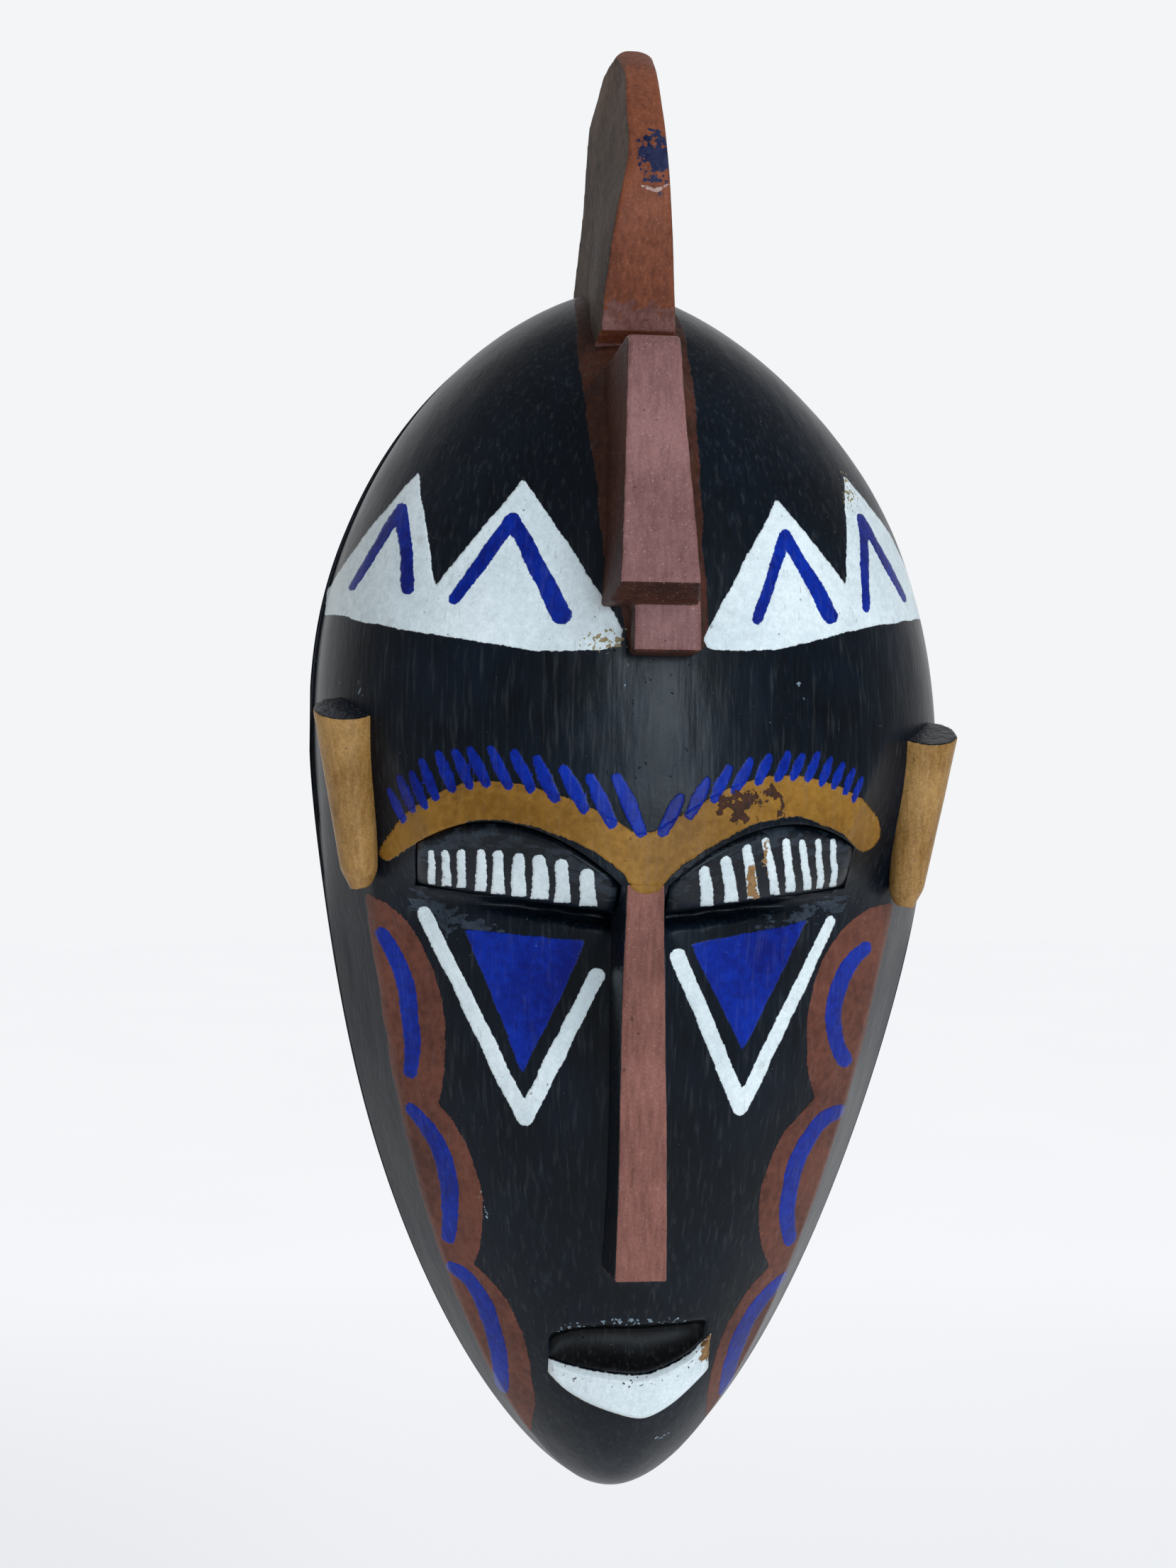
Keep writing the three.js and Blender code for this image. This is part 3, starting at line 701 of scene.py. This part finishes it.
def two_sided(name, front, back):
    """A closed body from a fine front grid and a coarser back grid with the same rows."""
    rows, columns = front.shape[:2]
    back_columns = back.shape[1]
    start = rows * columns
    points = np.vstack([front.reshape(-1, 3), back.reshape(-1, 3)])
    faces = grid_faces(rows, columns).tolist()
    faces += grid_faces(rows, back_columns, start, flip=True).tolist()
    near = np.arange(start).reshape(rows, columns).tolist()
    far = np.arange(start, len(points)).reshape(rows, back_columns).tolist()
    for a, b, next_a, next_b in zip(near, far, near[1:], far[1:]):
        faces.append([next_a[0], a[0], b[0], next_b[0]])
        faces.append([a[-1], next_a[-1], next_b[-1], b[-1]])
    faces.append(near[0][::-1] + far[0])
    faces.append(near[-1] + far[-1][::-1])
    return make_object(name, points, faces)


def paint_face(obj):
    """Stores each pattern's distance at every vertex; the side to the wall stays bare."""
    points = to_local(obj)
    depth = -points[:, 1]
    turned = per_vertex(obj, "normal")[:, 1]
    p = wobble(points)
    inside = depth < face_depth(points[:, 0], points[:, 2]) - 15
    hidden = np.where((depth < 0.5) | (turned > 0.25) | inside, NOWHERE, 0)
    patterns = {
        "white": white_paint(p), "blue": blue_paint(p), "red": red_paint(p), "skirt": skirt_paint(p),
        "ochre": brow_paint(p), "mouth": mouth_inside(p), "scuffs_and_rim_sheen": scuffs_and_rim_sheen(p), "stains": stains(p),
        "scratched": scratched_corners(p), "worn": np.minimum(worn_patch(p), brow_paint(p) - 0.4),
    }
    set_values(obj, **{name: values + hidden for name, values in patterns.items()})
    set_values(obj, behind=np.where(inside | (turned > 0.15), 3, -3))


def mouth_inside(p):
    """Positive inside the scooped mouth."""
    x, z = p.T
    upright = np.minimum(mouth_rim(x) - 0.3 - z, z - lip_top(x) + 2)
    return np.minimum(upright, MOUTH_HALF - 0.5 - np.abs(x - MOUTH_MIDDLE))


def scuffs_and_rim_sheen(p):
    """The mouth's upper rim, rubbed and with a painted highlight where its edge catches the light, and
    a few scratches elsewhere.
    """
    x, z = p.T
    rim = np.minimum(0.9 - np.abs(z - mouth_rim(x) - 0.2), 20 - np.abs(x + 1))
    return all_of([rim] + [stroke(p, line, SCRATCH_WIDTH) for line in SCRATCHES])


def stains(p):
    """Brown stains in the white paint, at an inner corner and on a peak."""
    marks = np.maximum(oval(p, (-12, 42), (4, 2.2)), oval(p, (68, 94), (1.5, 4)))
    return np.minimum(marks, white_paint(p) - 0.3)


def worn_patch(p):
    """Where the right brow's paint is worn dark, with two thin streaks beside it."""
    return all_of([oval(p, (27.3, -6.5), (6.8, 3.8)), stroke(p, [(31, -5.2), (38, -1)], [1.8, 1.2]),
                   stroke(p, [(39, -2), (40.6, -9)], [0.9, 0.7])])


def scratched_corners(p):
    """Dry, scratched paint just under the outer half of each eyelid."""
    left = stroke(p, [(-66, -37.5), (-58, -42), (-40, -47)], [3.4, 3.6, 1.5])
    right = stroke(p, [(66, -36), (52, -41.5), (40, -44)], [3.0, 2.4, 1.2])
    return np.maximum(left, right)


LID_ENDS = (7.8, 67.0)


def eyelid(side):
    """One eyelid with its white bars and a painted highlight along its top; the right one has a chipped
    bar.
    """
    near, far = sorted(side * end for end in LID_ENDS)
    name = "lid_left" if side < 0 else "lid_right"
    rows = BARS_LEFT if side < 0 else BARS_RIGHT

    def front(x, z):
        top = np.maximum(0, lid_high(x) - z)
        ends = np.maximum(0, np.minimum(x - near, far - x))
        low = np.maximum(0, z - lid_line(x))
        drop = 2.2 * (1 - unit(top / 3.2)) ** 2 + 1.8 * (1 - unit(ends / 3)) ** 2
        drop = drop + 0.7 * (1 - unit(low / 1.0)) ** 2
        return lid_depth(x, z) - drop

    lid = slab(name, lid_line, lid_high, near, far, lid_back, front, 56, 110)
    points = to_local(lid)
    half = len(points) // 2
    points[:half, 1] -= 0.4 * chisel_relief(points[:half])
    put_points(lid, points)
    p = wobble(points)
    white = bars(p, rows)
    chipped = np.maximum(np.minimum(oval(p, (34.8, -31), (4.5, 8.5)), white),
                         oval(p, (37.2, -20.4), (0.9, 3.6)))
    below = lid_high(points[:, 0]) - points[:, 2]
    # The band from 0.6 mm to 7.5 mm under the lid's upper edge is where the painted highlight goes.
    set_values(lid, white=white, bare=chipped if side > 0 else np.full(len(p), NOWHERE),
               band=np.minimum(below - 0.6, 7.5 - below))
    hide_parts("eyelid_left" if side < 0 else "eyelid_right")
    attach(lid, "mask")
    return lid


def lower_lip():
    """The raised white lip, with a bead along its top and its right end chipped."""
    def front(x, z):
        ends = np.minimum(x - LIP_LEFT, LIP_RIGHT - x)
        top = lip_top(x) - z
        edge = np.minimum(np.minimum(top, z - lip_bottom(x)), ends)
        round_off = 2.6 * (1 - unit(edge / 2.4)) ** 2
        bead = 0.5 * np.exp(-((top - 1.8) / 0.8) ** 2)
        return face_depth(x, z) + 3.4 - round_off + bead

    lip = slab("lip", lip_bottom, lip_top, LIP_LEFT, LIP_RIGHT,
               lambda x, z: face_depth(x, z) - 5, front, 48, 110)
    points = to_local(lip)
    half = len(points) // 2
    points[:half, 1] -= 0.5 * chisel_relief(points[:half])
    chip = smooth(-1.5, 1.5, oval(points[:half, ::2], (26.5, -180.5), (3.6, 6)))
    points[:half, 1] += chip * (1.2 + 0.6 * grain(points[:half], 2.2))
    put_points(lip, points)
    below = lip_top(points[:, 0]) - points[:, 2]
    above = points[:, 2] - lip_bottom(points[:, 0])
    set_values(lip, bare=oval(wobble(points), (26.8, -180), (3.0, 5.2)), inner=0.2 - below,
               outline=0.45 - above, nicks=2.0 - np.abs(below - 2.6))
    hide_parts("lower_lip")
    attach(lip, "mask")
    return lip


# Drying cracks in the sides of the horn, as [depth, z] lines.
HORN_SPLITS = [
    [(66, 217), (67, 211), (68, 204)], [(46, 174), (46.5, 162), (45, 149)],
    [(30, 196), (30.6, 186), (30, 176)],
]
SPLIT_WIDTHS = [0.15, 0.45, 0.15]
CHALKY_BELOW = 146  # the horn's paint is chalky under this height


def comb_form(points):
    """The comb leans a little to the left towards its top."""
    points[:, 0] -= 1.2 * smooth(56, 128, points[:, 2])


def horn_form(points):
    """The horn leans left, is broader on its left at the foot and narrows to a rounded tip."""
    x, depth, z = points[:, 0].copy(), -points[:, 1], points[:, 2]
    foot = smooth(194, 168, z) * smooth(134, 150, z) * 0.6 + smooth(194, 160, z)
    front_left = smooth(2, 7, -x) * smooth(30, 58, depth)
    points[:, 0] -= 1.7 * foot * front_left
    tip = smooth(214, 233, z)
    points[:, 0] *= 1 - 0.06 * tip
    points[:, 0] += 2.2 * smooth(200, 222, z) * front_left * (1 - 0.4 * tip)
    points[:, 0] -= 0.5 + 1.6 * smooth(180, 232, z)
    points[:, 2] -= 4.5 * (np.abs(x) / 9) ** 2.5 * smooth(214, 233, z)


def nose_form(points):
    """The nose strays a little to the right on its way down."""
    points[:, 0] += 1.1 * smooth(-50, -135, points[:, 2])


def ear_form(points):
    """The ears' lower ends are rubbed round."""
    low = points[:, 2].min()
    near = points[:, 2] < low + 4
    middle = points[near, :2].mean(axis=0)
    pull = 0.42 * smooth(low + 7, low - 1, points[:, 2])[:, None]
    points[:, :2] += (middle - points[:, :2]) * pull


# Node, piece name, material slot and form of each standing piece.
STANDING = [
    ("crest_comb", "comb", "red_brown_paint", comb_form),
    ("crest_horn", "horn", "red_brown_paint", horn_form),
    ("nose_ridge", "nose", "red_brown_paint", nose_form),
    ("ear_left", "ear_l", "ochre_paint", ear_form),
    ("ear_right", "ear_r", "ochre_paint", ear_form),
]


def paint_standing(obj):
    """Stores which way each vertex faces, and the marks on the nose and the horn."""
    points = to_local(obj)
    normals = per_vertex(obj, "normal")
    side, up = np.abs(normals[:, 0]), normals[:, 2]
    p = wobble(points)
    hidden = np.where(normals[:, 1] < -0.3, 0, NOWHERE)
    scar = stroke(p, [(-4, 178), (1, 176.5), (6.5, 178.5)], [0.3, 0.7, 0.3])
    side_view = np.column_stack([-points[:, 1], points[:, 2]])
    splits = all_of([stroke(side_view, line, SPLIT_WIDTHS) for line in HORN_SPLITS])
    set_values(obj, side=side, up=up, under=-up, ochre=brow_paint(p),
               smudge=oval(p, (2.5, 187), (6.0, 8.5)) + hidden, scar=scar + hidden,
               chalky=CHALKY_BELOW - points[:, 2] + hidden,
               splits=np.where(side > 0.7, splits, NOWHERE))


def standing_pieces():
    """Comb, horn, nose and ears."""
    made = {}
    for node, name, slot, form in STANDING:
        obj = carved_copy(node, name, form)
        paint_standing(obj)
        made[name] = obj
    return made


# ---- materials
def srgb(*levels):
    def channel(value):
        value /= 255
        return value / 12.92 if value <= 0.04045 else ((value + 0.055) / 1.055) ** 2.4
    return (*map(channel, levels), 1.0)


class Graph:
    """Builds one node material around a Principled shader."""

    def __init__(self, name, **shader_values):
        self.material = bpy.data.materials.new(name)
        self.material.use_nodes = True
        self.tree = self.material.node_tree
        self.tree.nodes.clear()
        self.shader = self.add("BsdfPrincipled")
        output = self.add("OutputMaterial")
        self.tree.links.new(self.shader.outputs[0], output.inputs[0])
        self.place = self.add("TexCoord").outputs["Object"]
        for key, value in shader_values.items():
            self.put(self.shader.inputs[key.replace("_", " ")], value)

    def add(self, kind, **settings):
        node = self.tree.nodes.new("ShaderNode" + kind)
        for key, value in settings.items():
            setattr(node, key, value)
        return node

    def put(self, socket, value):
        if isinstance(value, bpy.types.NodeSocket):
            self.tree.links.new(value, socket)
        else:
            socket.default_value = value

    def value(self, name):
        return self.add("Attribute", attribute_name=name).outputs["Fac"]

    def math(self, operation, a, b):
        node = self.add("Math", operation=operation)
        self.put(node.inputs[0], a)
        self.put(node.inputs[1], b)
        return node.outputs[0]

    def times(self, a, b):
        return self.math("MULTIPLY", a, b)

    def range(self, value, low, high, to_low=0.0, to_high=1.0):
        node = self.add("MapRange", clamp=True)
        for socket, number in zip(node.inputs, (value, low, high, to_low, to_high)):
            self.put(socket, number)
        return node.outputs[0]

    def noise(self, size, detail, stretch=(1, 1, 1)):
        """Noise with lumps of the given size in millimetres, drawn out by stretch."""
        mapping = self.add("Mapping")
        self.put(mapping.inputs["Vector"], self.place)
        self.put(mapping.inputs["Scale"], [1000 / (size * k) for k in stretch])
        node = self.add("TexNoise")
        self.put(node.inputs["Vector"], mapping.outputs[0])
        self.put(node.inputs["Scale"], 1.0)
        self.put(node.inputs["Detail"], detail)
        self.put(node.inputs["Roughness"], 0.55)
        return node.outputs["Fac"]

    def mix(self, share, a, b, kind="RGBA", first=6, out=2):
        """Between a and b; first and out are the sockets that the node has for the kind."""
        node = self.add("Mix", data_type=kind)
        self.put(node.inputs[0], share)
        self.put(node.inputs[first], a)
        self.put(node.inputs[first + 1], b)
        return node.outputs[out]

    def scaled(self, color, factor):
        node = self.add("VectorMath", operation="SCALE")
        self.put(node.inputs[0], color)
        self.put(node.inputs["Scale"], factor)
        return node.outputs[0]

    def bump(self, height, distance_mm):
        node = self.add("Bump")
        self.put(node.inputs["Distance"], distance_mm * MM)
        self.put(node.inputs["Height"], height)
        return node.outputs[0]

    def finish(self, color, roughness, normal):
        for name, value in (("Base Color", color), ("Roughness", roughness), ("Normal", normal)):
            self.put(self.shader.inputs[name], value)
        return self.material


# Dark and light tone of each paint in sRGB, and its roughness.
PAINTS = {
    "black": ((3, 8, 14), (9, 19, 30), 0.33),
    # Near black, darker than the black paint: painted shade in the mouth's recess and in the horn's
    # cracks.
    "shade_black": ((1, 1, 2), (3, 4, 6), 0.42),
    # A lighter grey-blue with brush streaks: the painted highlight along the eyelids' tops.
    "brushed_sheen": ((14, 20, 27), (44, 53, 64), 0.4),
    "scuff_and_sheen": ((96, 110, 122), (150, 166, 178), 0.5),
    "nick": ((66, 58, 62), (104, 96, 96), 0.6),
    "nose": ((106, 66, 58), (144, 96, 86), 0.45),
    "white": ((202, 213, 216), (226, 235, 237), 0.5),
    "blue": ((0, 18, 104), (2, 42, 152), 0.36),
    "red": ((76, 42, 33), (112, 66, 52), 0.5),
    # Dark red: the skirt's own paint round the comb's foot, and painted shade on the comb's sides and
    # underside.
    "dark_red": ((44, 24, 18), (76, 42, 31), 0.55),
    "horn": ((96, 52, 36), (136, 78, 54), 0.5),
    "chalky": ((96, 60, 54), (132, 96, 90), 0.6),
    "scar": ((150, 124, 118), (184, 158, 150), 0.5),
    "dirt": ((120, 104, 70), (164, 148, 112), 0.6),
    "comb": ((112, 76, 74), (140, 100, 98), 0.45),
    "ochre": ((114, 78, 24), (150, 108, 44), 0.42),
    "ear": ((128, 92, 44), (166, 128, 76), 0.42),
    "bare": ((112, 80, 46), (172, 136, 92), 0.75),
    "raw": ((50, 39, 33), (98, 79, 67), 0.7),
    "timber": ((100, 76, 54), (160, 126, 90), 0.8),
    "worn": ((34, 22, 18), (72, 44, 30), 0.6),
    "scratched": ((20, 27, 35), (54, 64, 76), 0.45),
    "smudge": ((14, 20, 52), (44, 50, 80), 0.5),
}
STAIN = srgb(128, 116, 102)
PIT = srgb(14, 13, 13)
DUST = srgb(150, 156, 160)
GLINT = srgb(206, 176, 168)
TONE_RANGE = (0.38, 0.62)  # part of the noise that runs from a paint's dark to its light tone
LINE_SHARE = 0.4  # share of the fine lines in that noise
UPRIGHT = (1, 1, 8)  # streaks drawn out along the grain
BRUSHED = (5, 1, 1)  # streaks drawn out along the eyelid


def tone(g, paint, broad, lines):
    """A paint's colour, between its dark and its light tone."""
    dark, light = (srgb(*color) for color in PAINTS[paint][:2])
    noise = g.math("ADD", g.times(lines, LINE_SHARE), g.times(broad, 1 - LINE_SHARE))
    return g.mix(g.range(noise, *TONE_RANGE), dark, light)


def aged_white(g, color, mask):
    """Fine upright cracks and brown stains in thick white paint."""
    cracks = g.range(g.noise(0.9, 3, (1, 1, 16)), 0.66, 0.72)
    stained = g.range(g.noise(9, 4), 0.62, 0.74)
    flaws = g.math("MAXIMUM", g.times(cracks, 0.35), g.times(stained, 0.25))
    return g.mix(g.times(flaws, mask), color, STAIN)


def dusty(g, color, dust):
    """Pale specks, and faint scrapes down the grain."""
    specks = g.range(g.noise(1.1, 2), 0.755, 0.80)
    scrapes = g.range(g.noise(1.3, 4, (1, 1, 12)), 0.54, 0.76, 0.0, 0.12)
    return g.mix(g.times(g.math("MAXIMUM", specks, scrapes), dust), color, DUST)


def painted(name, ground, layers, ridges=0.05, peel=0.05, sparks=0.0, dust=0.0, mottle=0.06,
            spec=0.16):
    """Painted wood. Each layer is (value or maker, paint, thickness mm, raggedness mm)."""
    g = Graph(name, Specular_IOR_Level=spec)
    broad = g.noise(30, 5)
    fine = g.noise(2.6, 4)
    streaks = g.noise(1.4, 4, UPRIGHT)
    edge = g.noise(1.4, 4)
    color = tone(g, ground, broad, streaks)
    rough = PAINTS[ground][2]
    roughness = g.range(broad, 0.3, 0.7, rough - 0.03, rough + 0.06)
    height = g.math("ADD", g.times(streaks, ridges), g.times(fine, peel))
    for source, paint, thickness, ragged in layers:
        distance = source(g) if callable(source) else g.value(source)
        shaken = g.math("ADD", distance, g.range(edge, 0.25, 0.75, -ragged, ragged))
        mask = g.range(shaken, -0.12, 0.12)
        lines = streaks if paint == "timber" else fine
        color = g.mix(mask, color, tone(g, paint, broad, lines))
        roughness = g.mix(mask, roughness, PAINTS[paint][2], "FLOAT", 2, 0)
        height = g.math("ADD", height, g.times(g.range(shaken, -0.3, 0.5), thickness))
        if paint == "white":
            color = aged_white(g, color, mask)
    color = g.scaled(color, g.range(g.noise(0.9, 4), 0.35, 0.65, 1 - mottle, 1 + mottle))
    pits = g.range(g.noise(2.0, 2), 0.71, 0.77)
    height = g.math("SUBTRACT", height, g.times(pits, 0.12))
    color = g.mix(g.times(pits, 0.5), color, PIT)
    if dust:
        color = dusty(g, color, dust)
    if sparks:
        glints = g.range(g.noise(0.6, 1), 0.66, 0.76)
        color = g.mix(g.times(glints, sparks), color, GLINT)
    return g.finish(color, roughness, g.bump(height, 1.0))


def facing(direction, low, high):
    """Positive on faces turned towards a stored direction, fading in from low to high."""
    return lambda g: g.range(g.value(direction), low, high, -1, 1)


def patchy(name, size, reach, stretch=(1, 1, 1)):
    """A worn patch: the stored distance eaten into by noise."""
    return lambda g: g.math("ADD", g.value(name),
                            g.range(g.noise(size, 4, stretch), 0.35, 0.65, -reach, reach * 0.5))


def dots(name, size, few):
    """Scattered flecks inside the stored shape."""
    return lambda g: g.math("ADD", g.value(name), g.range(g.noise(size, 2), few, few + 0.1, -6, 0.4))


def face_material():
    return painted("face_paint", "black", [
        ("red", "red", 0.12, 0.3), ("skirt", "dark_red", 0.1, 0.4),
        (patchy("scratched", 1.8, 5, BRUSHED), "scratched", 0.05, 1.0),
        ("white", "white", 0.25, 0.25), ("ochre", "ochre", 0.3, 0.35), ("blue", "blue", 0.15, 0.25),
        # The mouth's recess is black paint coloured darker still, as painted shade deep inside it.
        (patchy("worn", 3, 3), "worn", -0.2, 0.4), ("mouth", "shade_black", 0.0, 0.2),
        # Pale grey flecks: rubbed paint and a painted highlight along the mouth's upper rim, and the
        # scratches.
        (dots("scuffs_and_rim_sheen", 1.6, 0.5), "scuff_and_sheen", -0.05, 0.2),
        (patchy("stains", 1.5, 5), "dirt", 0.0, 0.5), ("behind", "timber", 0.0, 0.6),
    ], ridges=0.08, dust=0.5, spec=0.17)


def lid_material():
    return painted("lid_paint", "black", [
        # Painted highlight in a lighter grey-blue, with brush streaks, along the top of each eyelid.
        (patchy("band", 2.6, 6, BRUSHED), "brushed_sheen", 0.03, 1.2),
        ("white", "white", 0.35, 0.25), (patchy("bare", 2.2, 0.8), "bare", -0.3, 0.2),
    ], dust=0.3, spec=0.22)


def lip_material():
    return painted("lip_paint", "white", [
        ("inner", "black", 0.0, 0.2), (patchy("outline", 2, 0.5), "dirt", -0.1, 0.2),
        (dots("nicks", 1.5, 0.58), "nick", -0.2, 0.2), (patchy("bare", 3, 1.2), "bare", -0.3, 0.4),
    ], ridges=0.1, peel=0.25)


def nose_material():
    return painted("nose_paint", "nose", [
        (facing("side", 0.62, 0.9), "black", 0.05, 0.1), ("ochre", "ochre", 0.3, 0.3),
    ], peel=0.35, sparks=0.2, mottle=0.1)


def comb_material():
    return painted("comb_paint", "comb", [
        # Painted shade: the comb's sides and its faces turned down are coloured dark red, as if in
        # shadow.
        (facing("side", 0.68, 0.9), "dark_red", -0.05, 0.1),
        (facing("under", 0.3, 0.6), "dark_red", 0.0, 0.2),
    ], peel=0.3, sparks=0.35, mottle=0.1)


def horn_material():
    return painted("horn_paint", "horn", [
        (patchy("chalky", 4, 5), "chalky", 0.0, 0.5), (facing("side", 0.75, 0.97), "raw", -0.1, 0.1),
        # The drying cracks are coloured near black, as painted shade inside them.
        ("splits", "shade_black", -0.5, 0.1), (patchy("smudge", 2, 5), "smudge", 0.05, 0.6),
        (patchy("scar", 2, 0.4), "scar", -0.2, 0.1),
    ], ridges=0.12, peel=0.25, sparks=0.15, mottle=0.12)


def ear_material():
    return painted("ear_paint", "ear", [
        (facing("up", 0.35, 0.75), "black", 0.05, 0.2),
    ], ridges=0.08, peel=0.4, sparks=0.3, mottle=0.14, spec=0.25)


def steel_material():
    g = Graph("zinc", Metallic=0.9)
    patches = g.noise(2.5, 4)
    color = g.mix(g.range(patches, 0.35, 0.65), srgb(112, 113, 114), srgb(168, 170, 172))
    return g.finish(color, g.range(patches, 0.3, 0.7, 0.25, 0.5), g.bump(patches, 0.05))


def bare_wood_material():
    g = Graph("bare_wood")
    lines = g.noise(1.2, 4, (1, 1, 12))
    color = g.mix(g.range(lines, 0.35, 0.65), srgb(146, 108, 68), srgb(196, 158, 112))
    return g.finish(color, 0.7, g.bump(lines, 0.2))


def dress(obj, material):
    """Gives every material slot of an object the same material."""
    if not obj.data.materials:
        obj.data.materials.append(material)
    for slot in obj.material_slots:
        slot.material = material


# ---- the stage
def build_camera():
    data = bpy.data.cameras.new("camera")
    camera = new_object("camera", data)
    data.lens = 40.5
    data.sensor_width = 36
    camera.location = (-0.063, -0.6, -MOUNT_HEIGHT * MM)
    camera.rotation_euler = [math.radians(turn) for turn in (90, -0.6, -5.08)]
    bpy.context.scene.camera = camera


LAMP_TARGET = Vector((0, -0.03, -0.16))
WORLD_FRONT = 0.30  # brightness of the room in front of the mask
WORLD_BEHIND = 0.93  # and of the backdrop behind it
WORLD_TURN = (0.25, 0.85)  # where the room turns from one to the other, along +Y
STUDIO_WHITE = (0.97, 0.98, 1.0, 1)
FLOOR_HEIGHT = -0.75  # metres
FLOOR_REACH = 6.0  # metres
FLOOR_GLOW = 0.62  # makes the far floor as bright as the backdrop


def area_light(name, place, size, watts, color, glossy=True):
    data = bpy.data.lights.new(name, "AREA")
    data.shape = "DISK"
    data.size = size
    data.energy = watts
    data.color = color
    lamp = new_object(name, data)
    lamp.location = place
    lamp.visible_glossy = glossy
    lamp.rotation_euler = (LAMP_TARGET - Vector(place)).to_track_quat("-Z", "Y").to_euler()


def build_world():
    """A pale room, brightest behind the mask, so that its own glow lights the front softly."""
    bpy.context.scene.world = world = bpy.data.worlds.new("studio")
    world.use_nodes = True
    tree = world.node_tree
    place = tree.nodes.new("ShaderNodeTexCoord")
    parts = tree.nodes.new("ShaderNodeSeparateXYZ")
    strength = tree.nodes.new("ShaderNodeMapRange")
    strength.interpolation_type = "SMOOTHSTEP"
    for socket, value in zip(strength.inputs[1:5], (*WORLD_TURN, WORLD_FRONT, WORLD_BEHIND)):
        socket.default_value = value
    background = tree.nodes["Background"]
    background.inputs["Color"].default_value = STUDIO_WHITE
    tree.links.new(place.outputs["Generated"], parts.inputs[0])
    tree.links.new(parts.outputs["Y"], strength.inputs[0])
    tree.links.new(strength.outputs[0], background.inputs["Strength"])


def build_floor():
    mesh = bpy.data.meshes.new("floor")
    corners = [(-1, -1), (1, -1), (1, 1), (-1, 1)]
    points = [(x * FLOOR_REACH, y * FLOOR_REACH, FLOOR_HEIGHT) for x, y in corners]
    mesh.from_pydata(points, [], [(0, 1, 2, 3)])
    floor = new_object("floor", mesh)
    g = Graph("floor", Specular_IOR_Level=0.1)
    g.put(g.shader.inputs["Emission Color"], STUDIO_WHITE)
    parts = g.add("SeparateXYZ")
    g.put(parts.inputs[0], g.place)
    glow = g.range(parts.outputs["Y"], -FLOOR_REACH / 2, FLOOR_REACH / 4, 0.0, FLOOR_GLOW)
    g.put(g.shader.inputs["Emission Strength"], glow)
    soft = g.noise(400, 2)
    tone = g.mix(soft, srgb(214, 215, 217), srgb(222, 223, 224))
    dress(floor, g.finish(tone, 0.9, g.bump(soft, 0.1)))


def build_stage():
    build_world()
    area_light("window", (0.20, -1.36, -0.05), 0.36, 6.0, (0.76, 0.89, 1.0))
    area_light("key", (0.60, -1.15, 0.45), 0.60, 8.5, (0.90, 0.95, 1.0), glossy=False)
    bpy.context.scene.view_settings.view_transform = "Standard"
    build_floor()


# ---- assembly
def dress_hardware():
    """Steel for the hanger and its screws, bare wood for the dowels."""
    steel = steel_material()
    bare_wood = bare_wood_material()
    for node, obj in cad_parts.items():
        if node.startswith(("hanger", "strap_screw")):
            dress(obj, steel)
        elif "dowel" in node:
            dress(obj, bare_wood)


def build_mask():
    dress(face_shell(), face_material())
    lid_paint = lid_material()
    for side in (-1, 1):
        dress(eyelid(side), lid_paint)
    dress(lower_lip(), lip_material())
    pieces = standing_pieces()
    dress(pieces["nose"], nose_material())
    dress(pieces["comb"], comb_material())
    dress(pieces["horn"], horn_material())
    ear_paint = ear_material()
    for name in ("ear_l", "ear_r"):
        dress(pieces[name], ear_paint)


build_camera()
build_stage()
build_mask()
dress_hardware()
